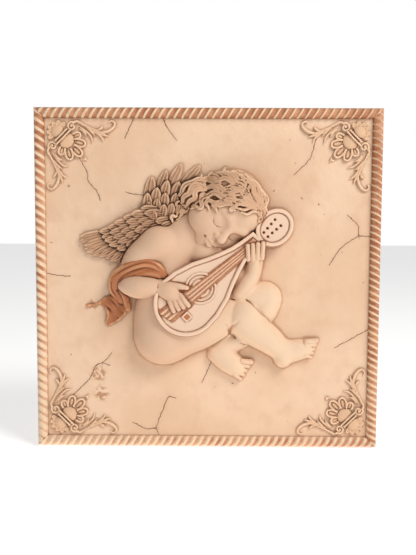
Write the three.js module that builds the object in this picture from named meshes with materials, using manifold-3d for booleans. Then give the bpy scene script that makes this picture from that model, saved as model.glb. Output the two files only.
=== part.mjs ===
// Cherub wall plaque: one square casting with a rope border, four corner ornaments
// and a winged child who rests on a lute. Millimetres, +Z up, the front faces -Y.
import * as THREE from 'three';
import { mergeVertices } from 'three/addons/utils/BufferGeometryUtils.js';
import Module from 'manifold-3d';

const wasm = await Module();
wasm.setup();

// Slab
const PLAQUE_WIDTH = 254;
const PLAQUE_HEIGHT = 250.5;
const FIELD_THICKNESS = 12; // back to the plastered field
const RIM_THICKNESS = 9; // back to the foot of the rope
const OUTER_CORNER_RADIUS = 2.5;

// Rope border
const ROPE_WIDTH = 8.5;
const ROPE_RISE = 8; // foot of the rope to its crown
const STRAND_GROOVE = 1.3;
const STRAND_LEAN = 1; // how many pitches a ridge moves on across the rope
const PITCH_TOP_AND_BOTTOM = 5.55; // ridge to ridge along the rope
const PITCH_LEFT = 6.05;
const PITCH_RIGHT = 4.85;
const ROPE_SPANS = 3; // facets across the half round
const ROPE_SINK = 2; // how far the rope's foot reaches into the slab
const ROPE_LAND = 0.2; // plain ledge between the slab's side and the rope

// Corner ornaments, plotted in squares of a drawing that starts in the field's corner
const ORNAMENT_SPAN = 51; // field corner to the end of a branch
const ORNAMENT_SQUARES = 51;
const ORNAMENT_RELIEF = 1; // factor on every height of the ornament

// Figure, plotted in squares of a drawing whose centre is the plaque's centre
const FIGURE_SPAN = 180; // wing tip to toes
const FIGURE_SQUARES = 180;
const FIGURE_ROOT = 1 / 3; // share of the field's thickness that no form of the figure reaches

// Lute, in squares of the figure's drawing, along its own axis from the middle of the bowl
const BOWL_RADIUS = 24;
const NECK_REACH = 70; // middle of the bowl to the end of the neck
const DECK_LEVEL = 17.6; // field to soundboard, at the middle of the bowl
const DECK_FALL = 0.093; // how much lower the soundboard lies for each unit towards the pegs
const LIP_WIDTH = 2.6;
const LIP_RISE = 1.2;
const LUTE_ANGLE = Math.PI / 4;
const NECK_JOINT_DEPTH = 4; // how far the lute's walls reach into the slab
const PEG_HEAD_LENGTH = 30;
const PEG_HEAD_BREADTH = 24.6;
const PEG_HOLE_RADIUS = 0.9;
const PEG_HOLE_DEPTH = 1.6;
const PEG_HOLES_PER_ROW = 4;
const PEG_HOLE_PITCH = 4.1;
const PEG_ROW_GAP = 5.6;
const STRING_COUNT = 4;
const ROSE_RADIUS = 10.8;
const ROSE_RING_WIDTH = 1.4;
const ROSE_PLACE = [15, 0.5];
const BRIDGE_PLACE = [-6.2, -7];
const BRIDGE_SIDE = 4;
const TRIM_SINK = 1; // how far strings, rose and bridge reach into the soundboard
const STRING_RISE = 1.4;
const ROSE_RISE = 0.8;
const BRIDGE_RISE = 1.6;
const STRINGS_LOW = { s: -18, step: 0.6, centre: 3.8, width: 13 };
const STRINGS_TOP = { s: 56, step: 0, centre: -3.4, width: 6.5 };
const STRING_GAP = 0.24; // groove between two strings, as a share of one string's room

const SQUARE = FIGURE_SPAN / FIGURE_SQUARES;
const ORNAMENT_SQUARE = ORNAMENT_SPAN / ORNAMENT_SQUARES;

// Meshes to solids

function signedVolume(positions, index) {
  const a = new THREE.Vector3();
  const b = new THREE.Vector3();
  const c = new THREE.Vector3();
  let volume = 0;
  for (let i = 0; i < index.length; i += 3) {
    a.fromArray(positions, index[i] * 3);
    b.fromArray(positions, index[i + 1] * 3);
    c.fromArray(positions, index[i + 2] * 3);
    volume += a.dot(b.cross(c)) / 6;
  }
  return volume;
}

function solid(geometry) {
  const bare = geometry.clone();
  bare.deleteAttribute('normal');
  bare.deleteAttribute('uv');
  const merged = mergeVertices(bare, 1e-4);
  const vertProperties = Float32Array.from(merged.attributes.position.array);
  const corners = Array.from(merged.index.array);
  const whole = [];
  for (let i = 0; i < corners.length; i += 3) {
    const [a, b, c] = corners.slice(i, i + 3);
    if (a !== b && b !== c && c !== a) whole.push(a, b, c);
  }
  if (signedVolume(vertProperties, whole) < 0) whole.reverse();
  const triVerts = Uint32Array.from(whole);
  return new wasm.Manifold(new wasm.Mesh({ numProp: 3, vertProperties, triVerts }));
}

// Adds neighbours in pairs, so that each join stays small
function joined(solids) {
  let level = solids;
  while (level.length > 1) {
    const next = [];
    for (let i = 0; i < level.length; i += 2) {
      next.push(i + 1 < level.length ? level[i].add(level[i + 1]) : level[i]);
    }
    level = next;
  }
  return level[0];
}

// The casting has no bubbles: a shell that faces inwards is left out
function withoutBubbles(work) {
  const shells = work.decompose().filter((shell) => {
    const { vertProperties, triVerts } = shell.getMesh();
    return signedVolume(vertProperties, triVerts) > 0;
  });
  return joined(shells);
}

function eachVertex(geometry, move) {
  const positions = geometry.attributes.position;
  const p = new THREE.Vector3();
  for (let i = 0; i < positions.count; i += 1) {
    p.fromBufferAttribute(positions, i);
    move(p, i);
    positions.setXYZ(i, p.x, p.y, p.z);
  }
  return geometry;
}

// A point of the relief: x and z on the plaque, level above the field
function onField(x, z, level, square = SQUARE) {
  return new THREE.Vector3(x * square, -FIELD_THICKNESS - level * square, z * square);
}

// A bar that follows stations of [x, z, half width, base level]. Its section is an arch
// on a flat base: facets across the arch, lift times the half width high. Ends are round
// over capRings rings; with none, they are points.
function limb(stations, options = {}) {
  const { facets = 5, rings = 3, capRings = 1, lift = 1, place = onField, square = SQUARE } = options;
  const centres = stations.map(([x, z, , level]) => place(x, z, level, square));
  const path = new THREE.CatmullRomCurve3(centres, false, 'centripetal');
  const widths = stations.map((station, i) => new THREE.Vector3(i, station[2] * square, 0));
  const girths = new THREE.CatmullRomCurve3(widths);
  const total = rings + 2 * capRings;
  const columns = facets + 1;
  const outward = new THREE.Vector3(0, -1, 0);
  const ball = new THREE.SphereGeometry(1, columns, total);
  return eachVertex(ball, (p, i) => {
    const ring = Math.floor(i / (columns + 1));
    const turn = ((i % (columns + 1)) % columns) * Math.PI / facets;
    const along = Math.min(Math.max((ring - capRings) / rings, 0), 1);
    const centre = path.getPoint(along);
    const tangent = path.getTangent(along);
    const across = new THREE.Vector3().crossVectors(tangent, outward).normalize();
    const up = new THREE.Vector3().crossVectors(across, tangent).normalize();
    let girth = girths.getPoint(along).y;
    if (capRings > 0) {
      const beyond = Math.max(capRings - Math.min(ring, total - ring), 0) * Math.PI / 2 / capRings;
      centre.addScaledVector(tangent, Math.sin(beyond) * girth * (along < 0.5 ? -1 : 1));
      girth *= Math.cos(beyond);
    } else if (ring === 0 || ring === total) {
      girth = 0;
    }
    const rise = Math.sin(turn) * girth * lift;
    p.copy(centre).addScaledVector(across, Math.cos(turn) * girth).addScaledVector(up, rise);
  });
}

// An egg shape at x, z with half axes along, across and out, turned in the wall plane
function egg([x, z, level], [along, across, out], turn = 0, options = {}) {
  const { sides = 8, rings = 4, place = onField, square = SQUARE } = options;
  const ball = new THREE.SphereGeometry(1, sides, rings);
  ball.scale(along * square, out * square, across * square);
  ball.rotateY(-turn);
  const at = place(x, z, level, square);
  return ball.translate(at.x, at.y, at.z);
}

// Slab and rope

function roundedRectangle(width, height, radius) {
  const shape = new THREE.Shape();
  const x = width / 2 - radius;
  const z = height / 2 - radius;
  shape.absarc(x, z, radius, 0, Math.PI / 2);
  shape.absarc(-x, z, radius, Math.PI / 2, Math.PI);
  shape.absarc(-x, -z, radius, Math.PI, 1.5 * Math.PI);
  shape.absarc(x, -z, radius, 1.5 * Math.PI, 2 * Math.PI);
  return shape;
}

// An outline on the wall plane, grown from one level to another (levels from the back)
function plate(shape, fromBack, toFront, curveSegments = 2) {
  const grown = { depth: toFront - fromBack, bevelEnabled: false, curveSegments };
  const geometry = new THREE.ExtrudeGeometry(shape, grown);
  return eachVertex(geometry, (p) => p.set(p.x, -(fromBack + p.z), p.y));
}

function slab() {
  const outline = roundedRectangle(PLAQUE_WIDTH, PLAQUE_HEIGHT, OUTER_CORNER_RADIUS);
  const rim = plate(outline, 0, RIM_THICKNESS);
  const field = new THREE.BoxGeometry(PLAQUE_WIDTH - ROPE_WIDTH, FIELD_THICKNESS, PLAQUE_HEIGHT - ROPE_WIDTH);
  field.translate(0, -FIELD_THICKNESS / 2, 0);
  return solid(rim).add(solid(field));
}

// One side of the border, drawn along x with the outer edge at z = 0 and the inner above.
// Its outer foot is on the rim and its inner foot on the field.
function ropeStrip(length, pitch) {
  const ridges = Math.ceil(length / pitch) + 4;
  const strip = new THREE.BoxGeometry(2 * ridges, ROPE_SPANS, 1, 2 * ridges, ROPE_SPANS, 1);
  const lastTurn = Math.PI - Math.asin((FIELD_THICKNESS - RIM_THICKNESS) / ROPE_RISE);
  return eachVertex(strip, (p) => {
    const line = Math.round(p.x + ridges);
    const share = (p.y + ROPE_SPANS / 2) / ROPE_SPANS;
    const groove = line % 2 === 1 ? STRAND_GROOVE : 0;
    const turn = share * lastTurn;
    const along = (line / 2 - ridges / 2 + STRAND_LEAN * (share - 0.5)) * pitch;
    const inward = ROPE_WIDTH / 2 - Math.cos(turn) * (ROPE_WIDTH / 2 - ROPE_LAND - groove);
    const crown = share === 1 ? FIELD_THICKNESS : RIM_THICKNESS + Math.sin(turn) * (ROPE_RISE - groove);
    const level = p.z > 0 ? crown : RIM_THICKNESS - ROPE_SINK;
    p.set(along, -level, inward);
  });
}

function mitredStrip(length, pitch) {
  const overlap = 0.02;
  const half = length / 2;
  const wedge = new THREE.Shape([
    new THREE.Vector2(-half - overlap, 0),
    new THREE.Vector2(half + overlap, 0),
    new THREE.Vector2(half - ROPE_WIDTH + overlap, ROPE_WIDTH),
    new THREE.Vector2(-half + ROPE_WIDTH - overlap, ROPE_WIDTH),
  ]);
  const cutter = plate(wedge, 0, RIM_THICKNESS + 2 * ROPE_RISE);
  return solid(ropeStrip(length, pitch)).intersect(solid(cutter));
}

function rope() {
  const sides = [
    { length: PLAQUE_WIDTH, edge: PLAQUE_HEIGHT / 2, degrees: 180, pitch: PITCH_TOP_AND_BOTTOM },
    { length: PLAQUE_WIDTH, edge: PLAQUE_HEIGHT / 2, degrees: 0, pitch: PITCH_TOP_AND_BOTTOM },
    { length: PLAQUE_HEIGHT, edge: PLAQUE_WIDTH / 2, degrees: 90, pitch: PITCH_LEFT },
    { length: PLAQUE_HEIGHT, edge: PLAQUE_WIDTH / 2, degrees: -90, pitch: PITCH_RIGHT },
  ];
  const strips = sides.map(({ length, edge, degrees, pitch }) => {
    return mitredStrip(length, pitch).translate([0, 0, -edge]).rotate([0, degrees, 0]);
  });
  const inside = 2 * (ROPE_LAND / 4);
  const outline = roundedRectangle(PLAQUE_WIDTH - inside, PLAQUE_HEIGHT - inside, OUTER_CORNER_RADIUS);
  const trim = plate(outline, 0, RIM_THICKNESS + 2 * ROPE_RISE);
  return joined(strips).intersect(solid(trim));
}

// Corner ornament: one half, its twin across the diagonal, and the pieces on the diagonal

function ornamentPlacer(signX, signZ, swapped) {
  return (a, b, level, square) => {
    const [x, z] = swapped ? [b, a] : [a, b];
    const cornerX = PLAQUE_WIDTH / 2 - ROPE_WIDTH - x * square;
    const cornerZ = PLAQUE_HEIGHT / 2 - ROPE_WIDTH - z * square;
    const rise = level * ORNAMENT_RELIEF * square;
    return new THREE.Vector3(signX * cornerX, -FIELD_THICKNESS - rise, signZ * cornerZ);
  };
}

const STEM = [
  [20, 4, 1, 0], [26, 5, 1.3, 0], [32, 8.8, 1.3, 0],
  [43, 8.9, 1.1, 0], [50, 6, 1, 0], [48.5, 2.6, 0.8, 0],
];
const LEAVES = [
  [[22.5, 4.5], [27.5, 7], [29.9, 12.6]],
  [[29, 7.5], [34, 11.5], [36.2, 18.4]],
  [[34, 9], [39.3, 11], [41.3, 16.7]],
  [[43, 8.9], [46.8, 10], [48.9, 14]],
  [[35, 8.6], [39.5, 7.6], [41.7, 5]],
];
const PETALS_ASIDE = [[26.2, 17.8, 3.4], [23.8, 11.6, 2.7]];
const BEADS_ASIDE = [[9.5, 3.6, 1.7], [13.6, 3, 1.3]];

function branch(options) {
  const leaf = { ...options, facets: 2, rings: 2, capRings: 0, lift: 1.2 };
  const blades = LEAVES.map(([root, bend, tip]) => {
    return limb([[...root, 0.6, 0], [...bend, 1.6, 0], [...tip, 0.5, 0]], leaf);
  });
  return [limb(STEM, { ...options, facets: 2, rings: 6, capRings: 0, lift: 1.3 }), ...blades];
}

function petal([x, z, radius], focus, options) {
  const turn = options.toPetal(Math.atan2(z - focus, x - focus));
  return egg([x, z, 0], [radius, radius * 0.82, 2], turn, { ...options, sides: 6, rings: 2 });
}

function bead([x, z, radius], rise, options) {
  return egg([x, z, 0], [radius, radius, rise], 0, { ...options, sides: 5, rings: 2 });
}

function ornament(signX, signZ) {
  const square = ORNAMENT_SQUARE;
  const halves = [false, true].flatMap((swapped) => {
    const place = ornamentPlacer(signX, signZ, swapped);
    const toPetal = (angle) => {
      const inCorner = swapped ? Math.PI / 2 - angle : angle;
      return Math.atan2(-signZ * Math.sin(inCorner), -signX * Math.cos(inCorner));
    };
    const options = { place, square, toPetal };
    return [
      egg([20.2, 6.6, 0], [3.3, 3.3, 2.6], 0, { ...options, sides: 6, rings: 2 }),
      ...branch(options),
      ...PETALS_ASIDE.map((spot) => petal(spot, 15, options)),
      ...BEADS_ASIDE.map((spot) => bead(spot, 1.5, options)),
    ];
  });
  const place = ornamentPlacer(signX, signZ, false);
  const outwards = Math.atan2(-signZ, -signX);
  const middle = { place, square, sides: 6 };
  const bar = { place, square, facets: 2, rings: 1, lift: 1.8 };
  const centre = [
    limb([[17.4, 8, 1, 0], [8, 17.4, 1, 0]], bar),
    limb([[19.6, 10, 1, 0], [10, 19.6, 1, 0]], bar),
    egg([16.3, 16.3, 0], [5.6, 5.6, 3.2], outwards, { ...middle, sides: 8 }),
    egg([24.2, 24.2, 0], [5.4, 3.6, 2.6], outwards, middle),
    egg([30.2, 30.2, 0], [1.9, 1.5, 2], outwards, { ...middle, sides: 4, rings: 2 }),
    bead([5, 5, 2.4], 1.6, middle),
    bead([8.6, 8.6, 1.9], 1.6, middle),
  ];
  return joined([...halves, ...centre].map(solid));
}

// Figure

function torso() {
  return [
    limb([[-8, 42, 11, 0], [-22, 25, 15, 0], [-31, -9, 20.5, -1], [-32.5, -41, 22.5, -1]], {
      facets: 6, rings: 4, capRings: 2, lift: 0.8,
    }),
    egg([-36, 26, 7], [13, 12, 11], 0.6),
  ];
}

function nearLeg() {
  return [
    limb([[-31, -42, 21.5, 0], [-8, -34, 20, 0], [12, -26, 17, 0], [25, -23, 12.5, 0]], {
      capRings: 2, lift: 0.84,
    }),
    limb([[24.5, -28, 13.6, 0], [35.5, -37, 12.4, 0], [45.6, -44.6, 10.1, 0], [55, -53, 8.4, 0]], { lift: 1.15 }),
    limb([[54.4, -60, 7.4, 0], [60, -54, 8.8, 0], [69, -51.8, 8, 0], [75, -50, 7, 0]], { lift: 0.9, rings: 2 }),
  ];
}

function farLeg() {
  const bend = [
    [19, -16, 11, -1], [34, -13, 12, -1], [42.5, -16, 11.6, -1],
    [39.5, -27, 9.4, -1], [26, -42, 8.4, -1], [10, -50, 8, -1],
  ];
  return [
    limb(bend, { rings: 6 }),
    limb([[7, -54, 7, 0], [14.5, -60.3, 8.8, 0], [21.5, -65.5, 8.4, 0]], { rings: 2, lift: 0.95 }),
  ];
}

// Toes or fingers between a first and a last one, each from root to tip
function digits(first, last, count, { rootLevel, tipLevel, bigger = 1, facets = 3 }) {
  const blend = (a, b, t) => a + (b - a) * t;
  return Array.from({ length: count }, (_, i) => {
    const t = i / (count - 1);
    const [ax, az, bx, bz, radius] = first.map((value, k) => blend(value, last[k], t));
    const girth = i === 0 ? radius * bigger : radius;
    const stations = [[ax, az, girth, rootLevel], [bx, bz, girth * 0.9, tipLevel]];
    return limb(stations, { facets, rings: 1, lift: 1.8 });
  });
}

function toes() {
  const low = { rootLevel: 0, tipLevel: -0.4, facets: 2, bigger: 1.25 };
  return [
    ...digits([76, -44.2, 81.6, -43.8, 2], [73.4, -56, 77.8, -56.8, 1.3], 5, low),
    ...digits([22.5, -60.8, 31.6, -60.6, 2], [19.6, -73, 23.8, -75.6, 1.5], 5, low),
  ];
}

function playingArm() {
  return [
    limb([[-36, 27, 12.5, 4], [-49.5, 15, 12, 4], [-59, 2, 9.5, 4]], { rings: 2, lift: 1.1 }),
    limb([[-59.5, -4, 6, 10], [-50, -3.4, 8.4, 11], [-40, -4, 7.4, 12], [-34.5, -4.4, 6, 13]], { lift: 1.35 }),
    limb([[-34, -4.6, 6.2, 13], [-27, -7.2, 7, 14.5], [-23, -11, 6.2, 15.5]], { rings: 2, lift: 1.3 }),
    limb([[-26, -2.8, 3, 16], [-15, -3.9, 1.8, 16.5]], { facets: 3, rings: 1, lift: 2 }),
    ...digits([-26.6, -13.5, -23.2, -21, 1.9], [-18, -9.4, -13.4, -17, 2], 4, {
      rootLevel: 17.5, tipLevel: 17,
    }),
  ];
}

function neckArm() {
  return [
    limb([[34.4, 20, 6.6, 5], [33.6, 11.5, 6.6, 2], [32, 4, 7, 0], [28, -3, 8, 0], [23, -10, 7, 0]], {
      rings: 4, lift: 1.75,
    }),
    ...digits([28.6, 19, 28.5, 26, 2], [39, 19.5, 39.4, 27.6, 2], 4, { rootLevel: 12, tipLevel: 13 }),
  ];
}

const CROWN_TURN = 0.55; // direction from the chin to the crown, in the wall plane
const SKULL = { centre: [14, 58.5, 3], half: [29, 23.5, 18] };

function head() {
  return [
    egg(SKULL.centre, SKULL.half, CROWN_TURN, { sides: 10 }),
    egg([4, 42, 8], [20, 16.5, 15.5], CROWN_TURN + 0.25, { sides: 10, rings: 6 }),
    egg([26, 46.5, 9], [12, 10.5, 9.5], CROWN_TURN),
    egg([-5, 39, 13], [11, 9.5, 10.5], CROWN_TURN + 0.3),
    egg([2, 30.5, 14], [6.5, 4.6, 7], CROWN_TURN - 0.4, { sides: 6 }),
    egg([-5.4, 28, 12.6], [5, 4.6, 6.4], CROWN_TURN, { sides: 6 }),
    limb([[19, 41, 2.6, 16], [10.6, 31, 3.2, 20]], { facets: 3, rings: 1, lift: 1.2 }),
    egg([10, 43, 20.4], [5.2, 2.6, 2.6], CROWN_TURN - 1.1, { sides: 6 }),
    limb([[1, 33.6, 1, 19], [2.4, 28.8, 2.8, 19], [1.4, 26, 1, 17.5]], {
      facets: 2, rings: 2, capRings: 0, lift: 0.9,
    }),
  ];
}

// The level of the skull under a point, or of the field beside it
function skullLevel(x, z) {
  const [cx, cz, base] = SKULL.centre;
  const [along, across, out] = SKULL.half;
  const c = Math.cos(CROWN_TURN);
  const k = Math.sin(CROWN_TURN);
  const u = ((x - cx) * c + (z - cz) * k) / along;
  const v = (-(x - cx) * k + (z - cz) * c) / across;
  return base + out * Math.sqrt(Math.max(1 - u * u - v * v, 0));
}

// Each lock of hair is one S: where it springs, where it ends and how far it swings
const LOCKS = [
  [[37, 52], [-2, 60], 5],
  [[37, 54], [0, 67.5], -4],
  [[38, 56], [4, 74], 4],
  [[38, 58], [12, 79.5], -3.5],
  [[38, 60], [24, 80], 3],
  [[6, 60], [-16, 59.5], 4],
  [[4, 67], [-18, 66.5], -4],
  [[8, 74], [-14, 74], 3],
  [[-2, 57.5], [-17, 52.5], -3],
  [[9, 57], [12, 50.5], 2.5],
  [[38, 49], [17, 54], 1.6],
  [[39, 46.5], [22, 50], 1],
  [[40, 50], [43, 43], -1.5],
];

function lock([[ax, az], [bx, bz], swing]) {
  const length = Math.hypot(bx - ax, bz - az);
  const nx = -(bz - az) / length;
  const nz = (bx - ax) / length;
  const station = (t, side, halfWidth) => {
    const x = ax + (bx - ax) * t + nx * side * swing;
    const z = az + (bz - az) * t + nz * side * swing;
    return [x, z, halfWidth, skullLevel(x, z) - 1.5];
  };
  const stations = [station(0, 0, 2.2), station(0.35, 0.8, 3.6), station(0.7, -0.7, 3.2), station(1, 0.5, 1)];
  return limb(stations, { facets: 2, rings: 3, capRings: 0, lift: 1.3 });
}

function hair() {
  return [
    egg([-9, 62, 3], [13, 12.5, 9], CROWN_TURN),
    ...LOCKS.map(lock),
    limb([[39.5, 52, 3.6, 8], [43, 47, 3, 6]], { facets: 3, rings: 1, lift: 1.8 }),
    limb([[-24.5, 45.6, 2.6, 2], [-20.5, 49.4, 2.4, 4]], { facets: 3, rings: 1, lift: 3 }),
  ];
}

// Wings: rows of feathers, each row between a line of roots and a line of tips
const FEATHER_ROWS = [
  {
    roots: [[-68, 38], [-64, 32], [-56, 25]],
    tips: [[-95, 33.4], [-87, 20], [-67, 15]],
    count: 7, breadth: 3.6, level: 2,
  },
  {
    roots: [[-58, 38], [-52, 33], [-50, 29]],
    tips: [[-77, 35], [-73, 27.5], [-64, 19.5]],
    count: 4, breadth: 3.8, level: 4.2,
  },
  {
    roots: [[-52, 43], [-45, 37], [-42, 33]],
    tips: [[-69, 39.6], [-65, 31], [-55, 24.5]],
    count: 4, breadth: 3.7, level: 5,
  },
  {
    roots: [[-46, 47], [-40, 41], [-36, 38]],
    tips: [[-61.5, 45.5], [-56, 36.5], [-47, 30.5]],
    count: 4, breadth: 3.6, level: 5.6,
  },
  {
    roots: [[-40, 51], [-34, 46], [-28, 42]],
    tips: [[-53, 50.5], [-47, 42.5], [-38.5, 36.8]],
    count: 4, breadth: 3.5, level: 6.2,
  },
  {
    roots: [[-42, 55], [-34, 62], [-22, 66]],
    tips: [[-42.6, 75.4], [-25.4, 84], [-7.8, 84.8]],
    count: 4, breadth: 4.4, level: 2,
  },
  {
    roots: [[-41, 51], [-31, 57], [-22, 60]],
    tips: [[-43.6, 66.5], [-31, 73], [-17.5, 73]],
    count: 4, breadth: 3.9, level: 4,
  },
  {
    roots: [[-38, 47], [-30, 50], [-22, 52]],
    tips: [[-43, 60.6], [-33, 64], [-22.5, 63]],
    count: 4, breadth: 3.6, level: 5,
  },
  {
    roots: [[-35, 44], [-28, 45], [-20, 47]],
    tips: [[-38.4, 56], [-30, 56.5], [-22.5, 55]],
    count: 3, breadth: 3.6, level: 6,
  },
];

function feathers({ roots, tips, count, breadth, level }) {
  const rootLine = bowed(roots);
  const tipLine = bowed(tips);
  return Array.from({ length: count }, (_, i) => {
    const root = rootLine.getPoint(i / (count - 1));
    const tip = tipLine.getPoint(i / (count - 1));
    const at = (t, half, rise) => [...root.clone().lerp(tip, t).toArray(), half, level + rise];
    const stations = [at(0, breadth * 0.7, -4.4), at(0.75, breadth, -1), at(1.04, breadth * 0.4, -0.8)];
    return limb(stations, { facets: 2, rings: 2, capRings: 0, lift: 0.7 });
  });
}

// A bent line that passes through its middle point instead of only leaning towards it
function bowed([start, middle, end]) {
  const pull = middle.map((value, k) => 2 * value - (start[k] + end[k]) / 2);
  const points = [start, pull, end].map(([x, z]) => new THREE.Vector2(x, z));
  return new THREE.QuadraticBezierCurve(...points);
}

function wings() {
  const low = { facets: 3, rings: 3, lift: 0.5 };
  return [
    limb([[-30, 44, 10, 0], [-48, 39, 11.5, 0], [-64, 31, 11, 0], [-80, 25, 6, 0]], low),
    limb([[-28, 48, 11, 0], [-33, 60, 12, 0], [-32, 70, 7, 0]], { ...low, rings: 2 }),
    ...FEATHER_ROWS.flatMap(feathers),
  ];
}

// Lute

const BOWL_CENTRE = [-15, -16];
const PEG_HEAD_CENTRE = [48, 40];

function onLute(s, w, [cx, cz] = BOWL_CENTRE) {
  const c = Math.cos(LUTE_ANGLE);
  const k = Math.sin(LUTE_ANGLE);
  return new THREE.Vector2((cx + s * c - w * k) * SQUARE, (cz + s * k + w * c) * SQUARE);
}

// A plate of the lute: its levels are from the soundboard, and it leans with it
function lutePlate(shape, from, to, curveSegments) {
  const middle = onLute(0, 0);
  return eachVertex(plate(shape, from * SQUARE, to * SQUARE, curveSegments), (p) => {
    const s = (p.x - middle.x) * Math.cos(LUTE_ANGLE) + (p.z - middle.y) * Math.sin(LUTE_ANGLE);
    p.y += s * DECK_FALL - FIELD_THICKNESS - DECK_LEVEL * SQUARE;
  });
}

// Half widths of the outline as shares of the bowl's radius, along the neck's reach
const NECK_TAPER = [[0.14, 0.96], [0.33, 0.78], [0.6, 0.41], [0.8, 0.23], [1, 0.13]];

function luteOutline(inset) {
  const radius = BOWL_RADIUS - inset;
  const arcs = 10;
  const bowl = Array.from({ length: arcs + 1 }, (_, i) => {
    const turn = Math.PI / 2 + (Math.PI * i) / arcs;
    return [Math.cos(turn) * radius, Math.sin(turn) * radius];
  });
  const side = NECK_TAPER.map(([s, w]) => [s * NECK_REACH - inset, w * (BOWL_RADIUS - inset)]);
  const far = side.map(([s, w]) => [s, -w]);
  return new THREE.Shape([...bowl, ...far, ...side.reverse()].map(([s, w]) => onLute(s, w)));
}

function stringBand(index) {
  const corner = (end, share) => {
    const across = end.centre + (0.5 - share / STRING_COUNT) * end.width;
    return onLute(end.s + index * end.step, across);
  };
  const shares = [index + STRING_GAP / 2, index + 1 - STRING_GAP / 2];
  const low = shares.map((share) => corner(STRINGS_LOW, share));
  const top = shares.map((share) => corner(STRINGS_TOP, share));
  return lutePlate(new THREE.Shape([...low, ...top.reverse()]), -TRIM_SINK, STRING_RISE);
}

function roseRing(segments) {
  const centre = onLute(...ROSE_PLACE);
  const radius = ROSE_RADIUS * SQUARE;
  const shape = new THREE.Shape();
  shape.absarc(centre.x, centre.y, radius, 0, 2 * Math.PI);
  const hole = new THREE.Path();
  hole.absarc(centre.x, centre.y, radius - ROSE_RING_WIDTH * SQUARE, 0, 2 * Math.PI, true);
  shape.holes.push(hole);
  return lutePlate(shape, -TRIM_SINK, ROSE_RISE, segments / 2);
}

function bridge() {
  const [s, w] = BRIDGE_PLACE;
  const half = BRIDGE_SIDE / 2;
  const corners = [[-half, -half], [half, -half], [half, half], [-half, half]];
  const shape = new THREE.Shape(corners.map(([ds, dw]) => onLute(s + ds, w + dw)));
  return lutePlate(shape, -TRIM_SINK, BRIDGE_RISE);
}

function oval(inset) {
  const centre = onLute(0, 0, PEG_HEAD_CENTRE);
  const shape = new THREE.Shape();
  const along = (PEG_HEAD_LENGTH / 2 - inset) * SQUARE;
  const across = (PEG_HEAD_BREADTH / 2 - inset) * SQUARE;
  shape.absellipse(centre.x, centre.y, along, across, 0, 2 * Math.PI, false, LUTE_ANGLE);
  return shape;
}

function pegHead() {
  const disc = solid(lutePlate(oval(0), -DECK_LEVEL, LIP_RISE, 7));
  let work = disc.subtract(solid(lutePlate(oval(LIP_WIDTH), 0, 2 * LIP_RISE, 6)));
  for (const w of [PEG_ROW_GAP / 2, -PEG_ROW_GAP / 2]) {
    for (let i = 0; i < PEG_HOLES_PER_ROW; i += 1) {
      const s = (i - (PEG_HOLES_PER_ROW - 1) / 2) * PEG_HOLE_PITCH;
      const at = onLute(s, w, PEG_HEAD_CENTRE);
      const hole = new THREE.Shape();
      hole.absarc(at.x, at.y, PEG_HOLE_RADIUS * SQUARE, 0, 2 * Math.PI);
      work = work.subtract(solid(lutePlate(hole, -PEG_HOLE_DEPTH, 1, 2)));
    }
  }
  return work;
}

function lute() {
  const body = solid(lutePlate(luteOutline(0), -DECK_LEVEL - NECK_JOINT_DEPTH, LIP_RISE));
  const dished = body.subtract(solid(lutePlate(luteOutline(LIP_WIDTH), 0, 2 * LIP_RISE)));
  const strings = Array.from({ length: STRING_COUNT }, (_, i) => stringBand(i));
  const trims = [roseRing(14), bridge(), ...strings];
  return joined([dished, pegHead(), ...trims.map(solid)]);
}

// Ribbon

function ribbon() {
  const flat = { facets: 3, lift: 0.9 };
  const outline = [
    [-80, -17.4], [-72, -10.8], [-59, -19], [-59.6, -24.3],
    [-65, -29.6], [-73.8, -34.6], [-75.4, -30.4], [-73, -23.4],
  ];
  const tail = new THREE.Shape(outline.map(([x, z]) => new THREE.Vector2(x * SQUARE, z * SQUARE)));
  const overArm = [
    [-30.5, 3, 2.2, 12], [-36, 9.4, 3.4, 13], [-43, 12.2, 4, 14], [-51, 10.6, 4.8, 13],
    [-59, 6.4, 5.6, 9], [-66, 0.4, 5.4, 4], [-67.6, -7.6, 4, 2], [-63, -14.5, 3, 1],
  ];
  return [
    limb(overArm, { ...flat, rings: 7 }),
    limb([[-50, 3.6, 1.2, 15], [-42, 5.2, 2.6, 16], [-34.4, 2.8, 1.8, 14]], { ...flat, rings: 2 }),
    limb([[-63.5, -7, 1.8, 4], [-60.4, -14, 3, 2], [-58.4, -21, 2.4, 0]], { ...flat, rings: 2, lift: 2 }),
    plate(tail, FIELD_THICKNESS - 1, FIELD_THICKNESS + 3.6 * SQUARE),
    limb([[-92, -19.4, 1.8, 0], [-88.5, -19.2, 0.8, 0], [-79, -16.8, 0.8, 0]], {
      facets: 2, rings: 3, capRings: 0, lift: 1.5,
    }),
  ];
}

function cherub() {
  const body = [torso(), nearLeg(), farLeg(), toes(), playingArm(), neckArm(), head()];
  const dress = [hair(), wings(), ribbon()];
  const figure = joined([...body.flat(), ...dress.flat()].map(solid)).add(lute());
  const behind = new THREE.BoxGeometry(2 * PLAQUE_WIDTH, PLAQUE_WIDTH, 2 * PLAQUE_HEIGHT);
  behind.translate(0, PLAQUE_WIDTH / 2 - FIGURE_ROOT * FIELD_THICKNESS, 0);
  return figure.subtract(solid(behind));
}

function plaqueGeometry() {
  const corners = [[-1, 1], [1, 1], [-1, -1], [1, -1]].map(([x, z]) => ornament(x, z));
  const whole = withoutBubbles(joined([slab(), rope(), ...corners, cherub()]));
  const { numProp, vertProperties, triVerts } = whole.getMesh();
  if (numProp !== 3) throw new Error('the joined plaque has more than positions');
  const geometry = new THREE.BufferGeometry();
  geometry.setAttribute('position', new THREE.BufferAttribute(vertProperties, 3));
  geometry.setIndex(new THREE.BufferAttribute(triVerts, 1));
  geometry.computeVertexNormals();
  return geometry;
}

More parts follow.
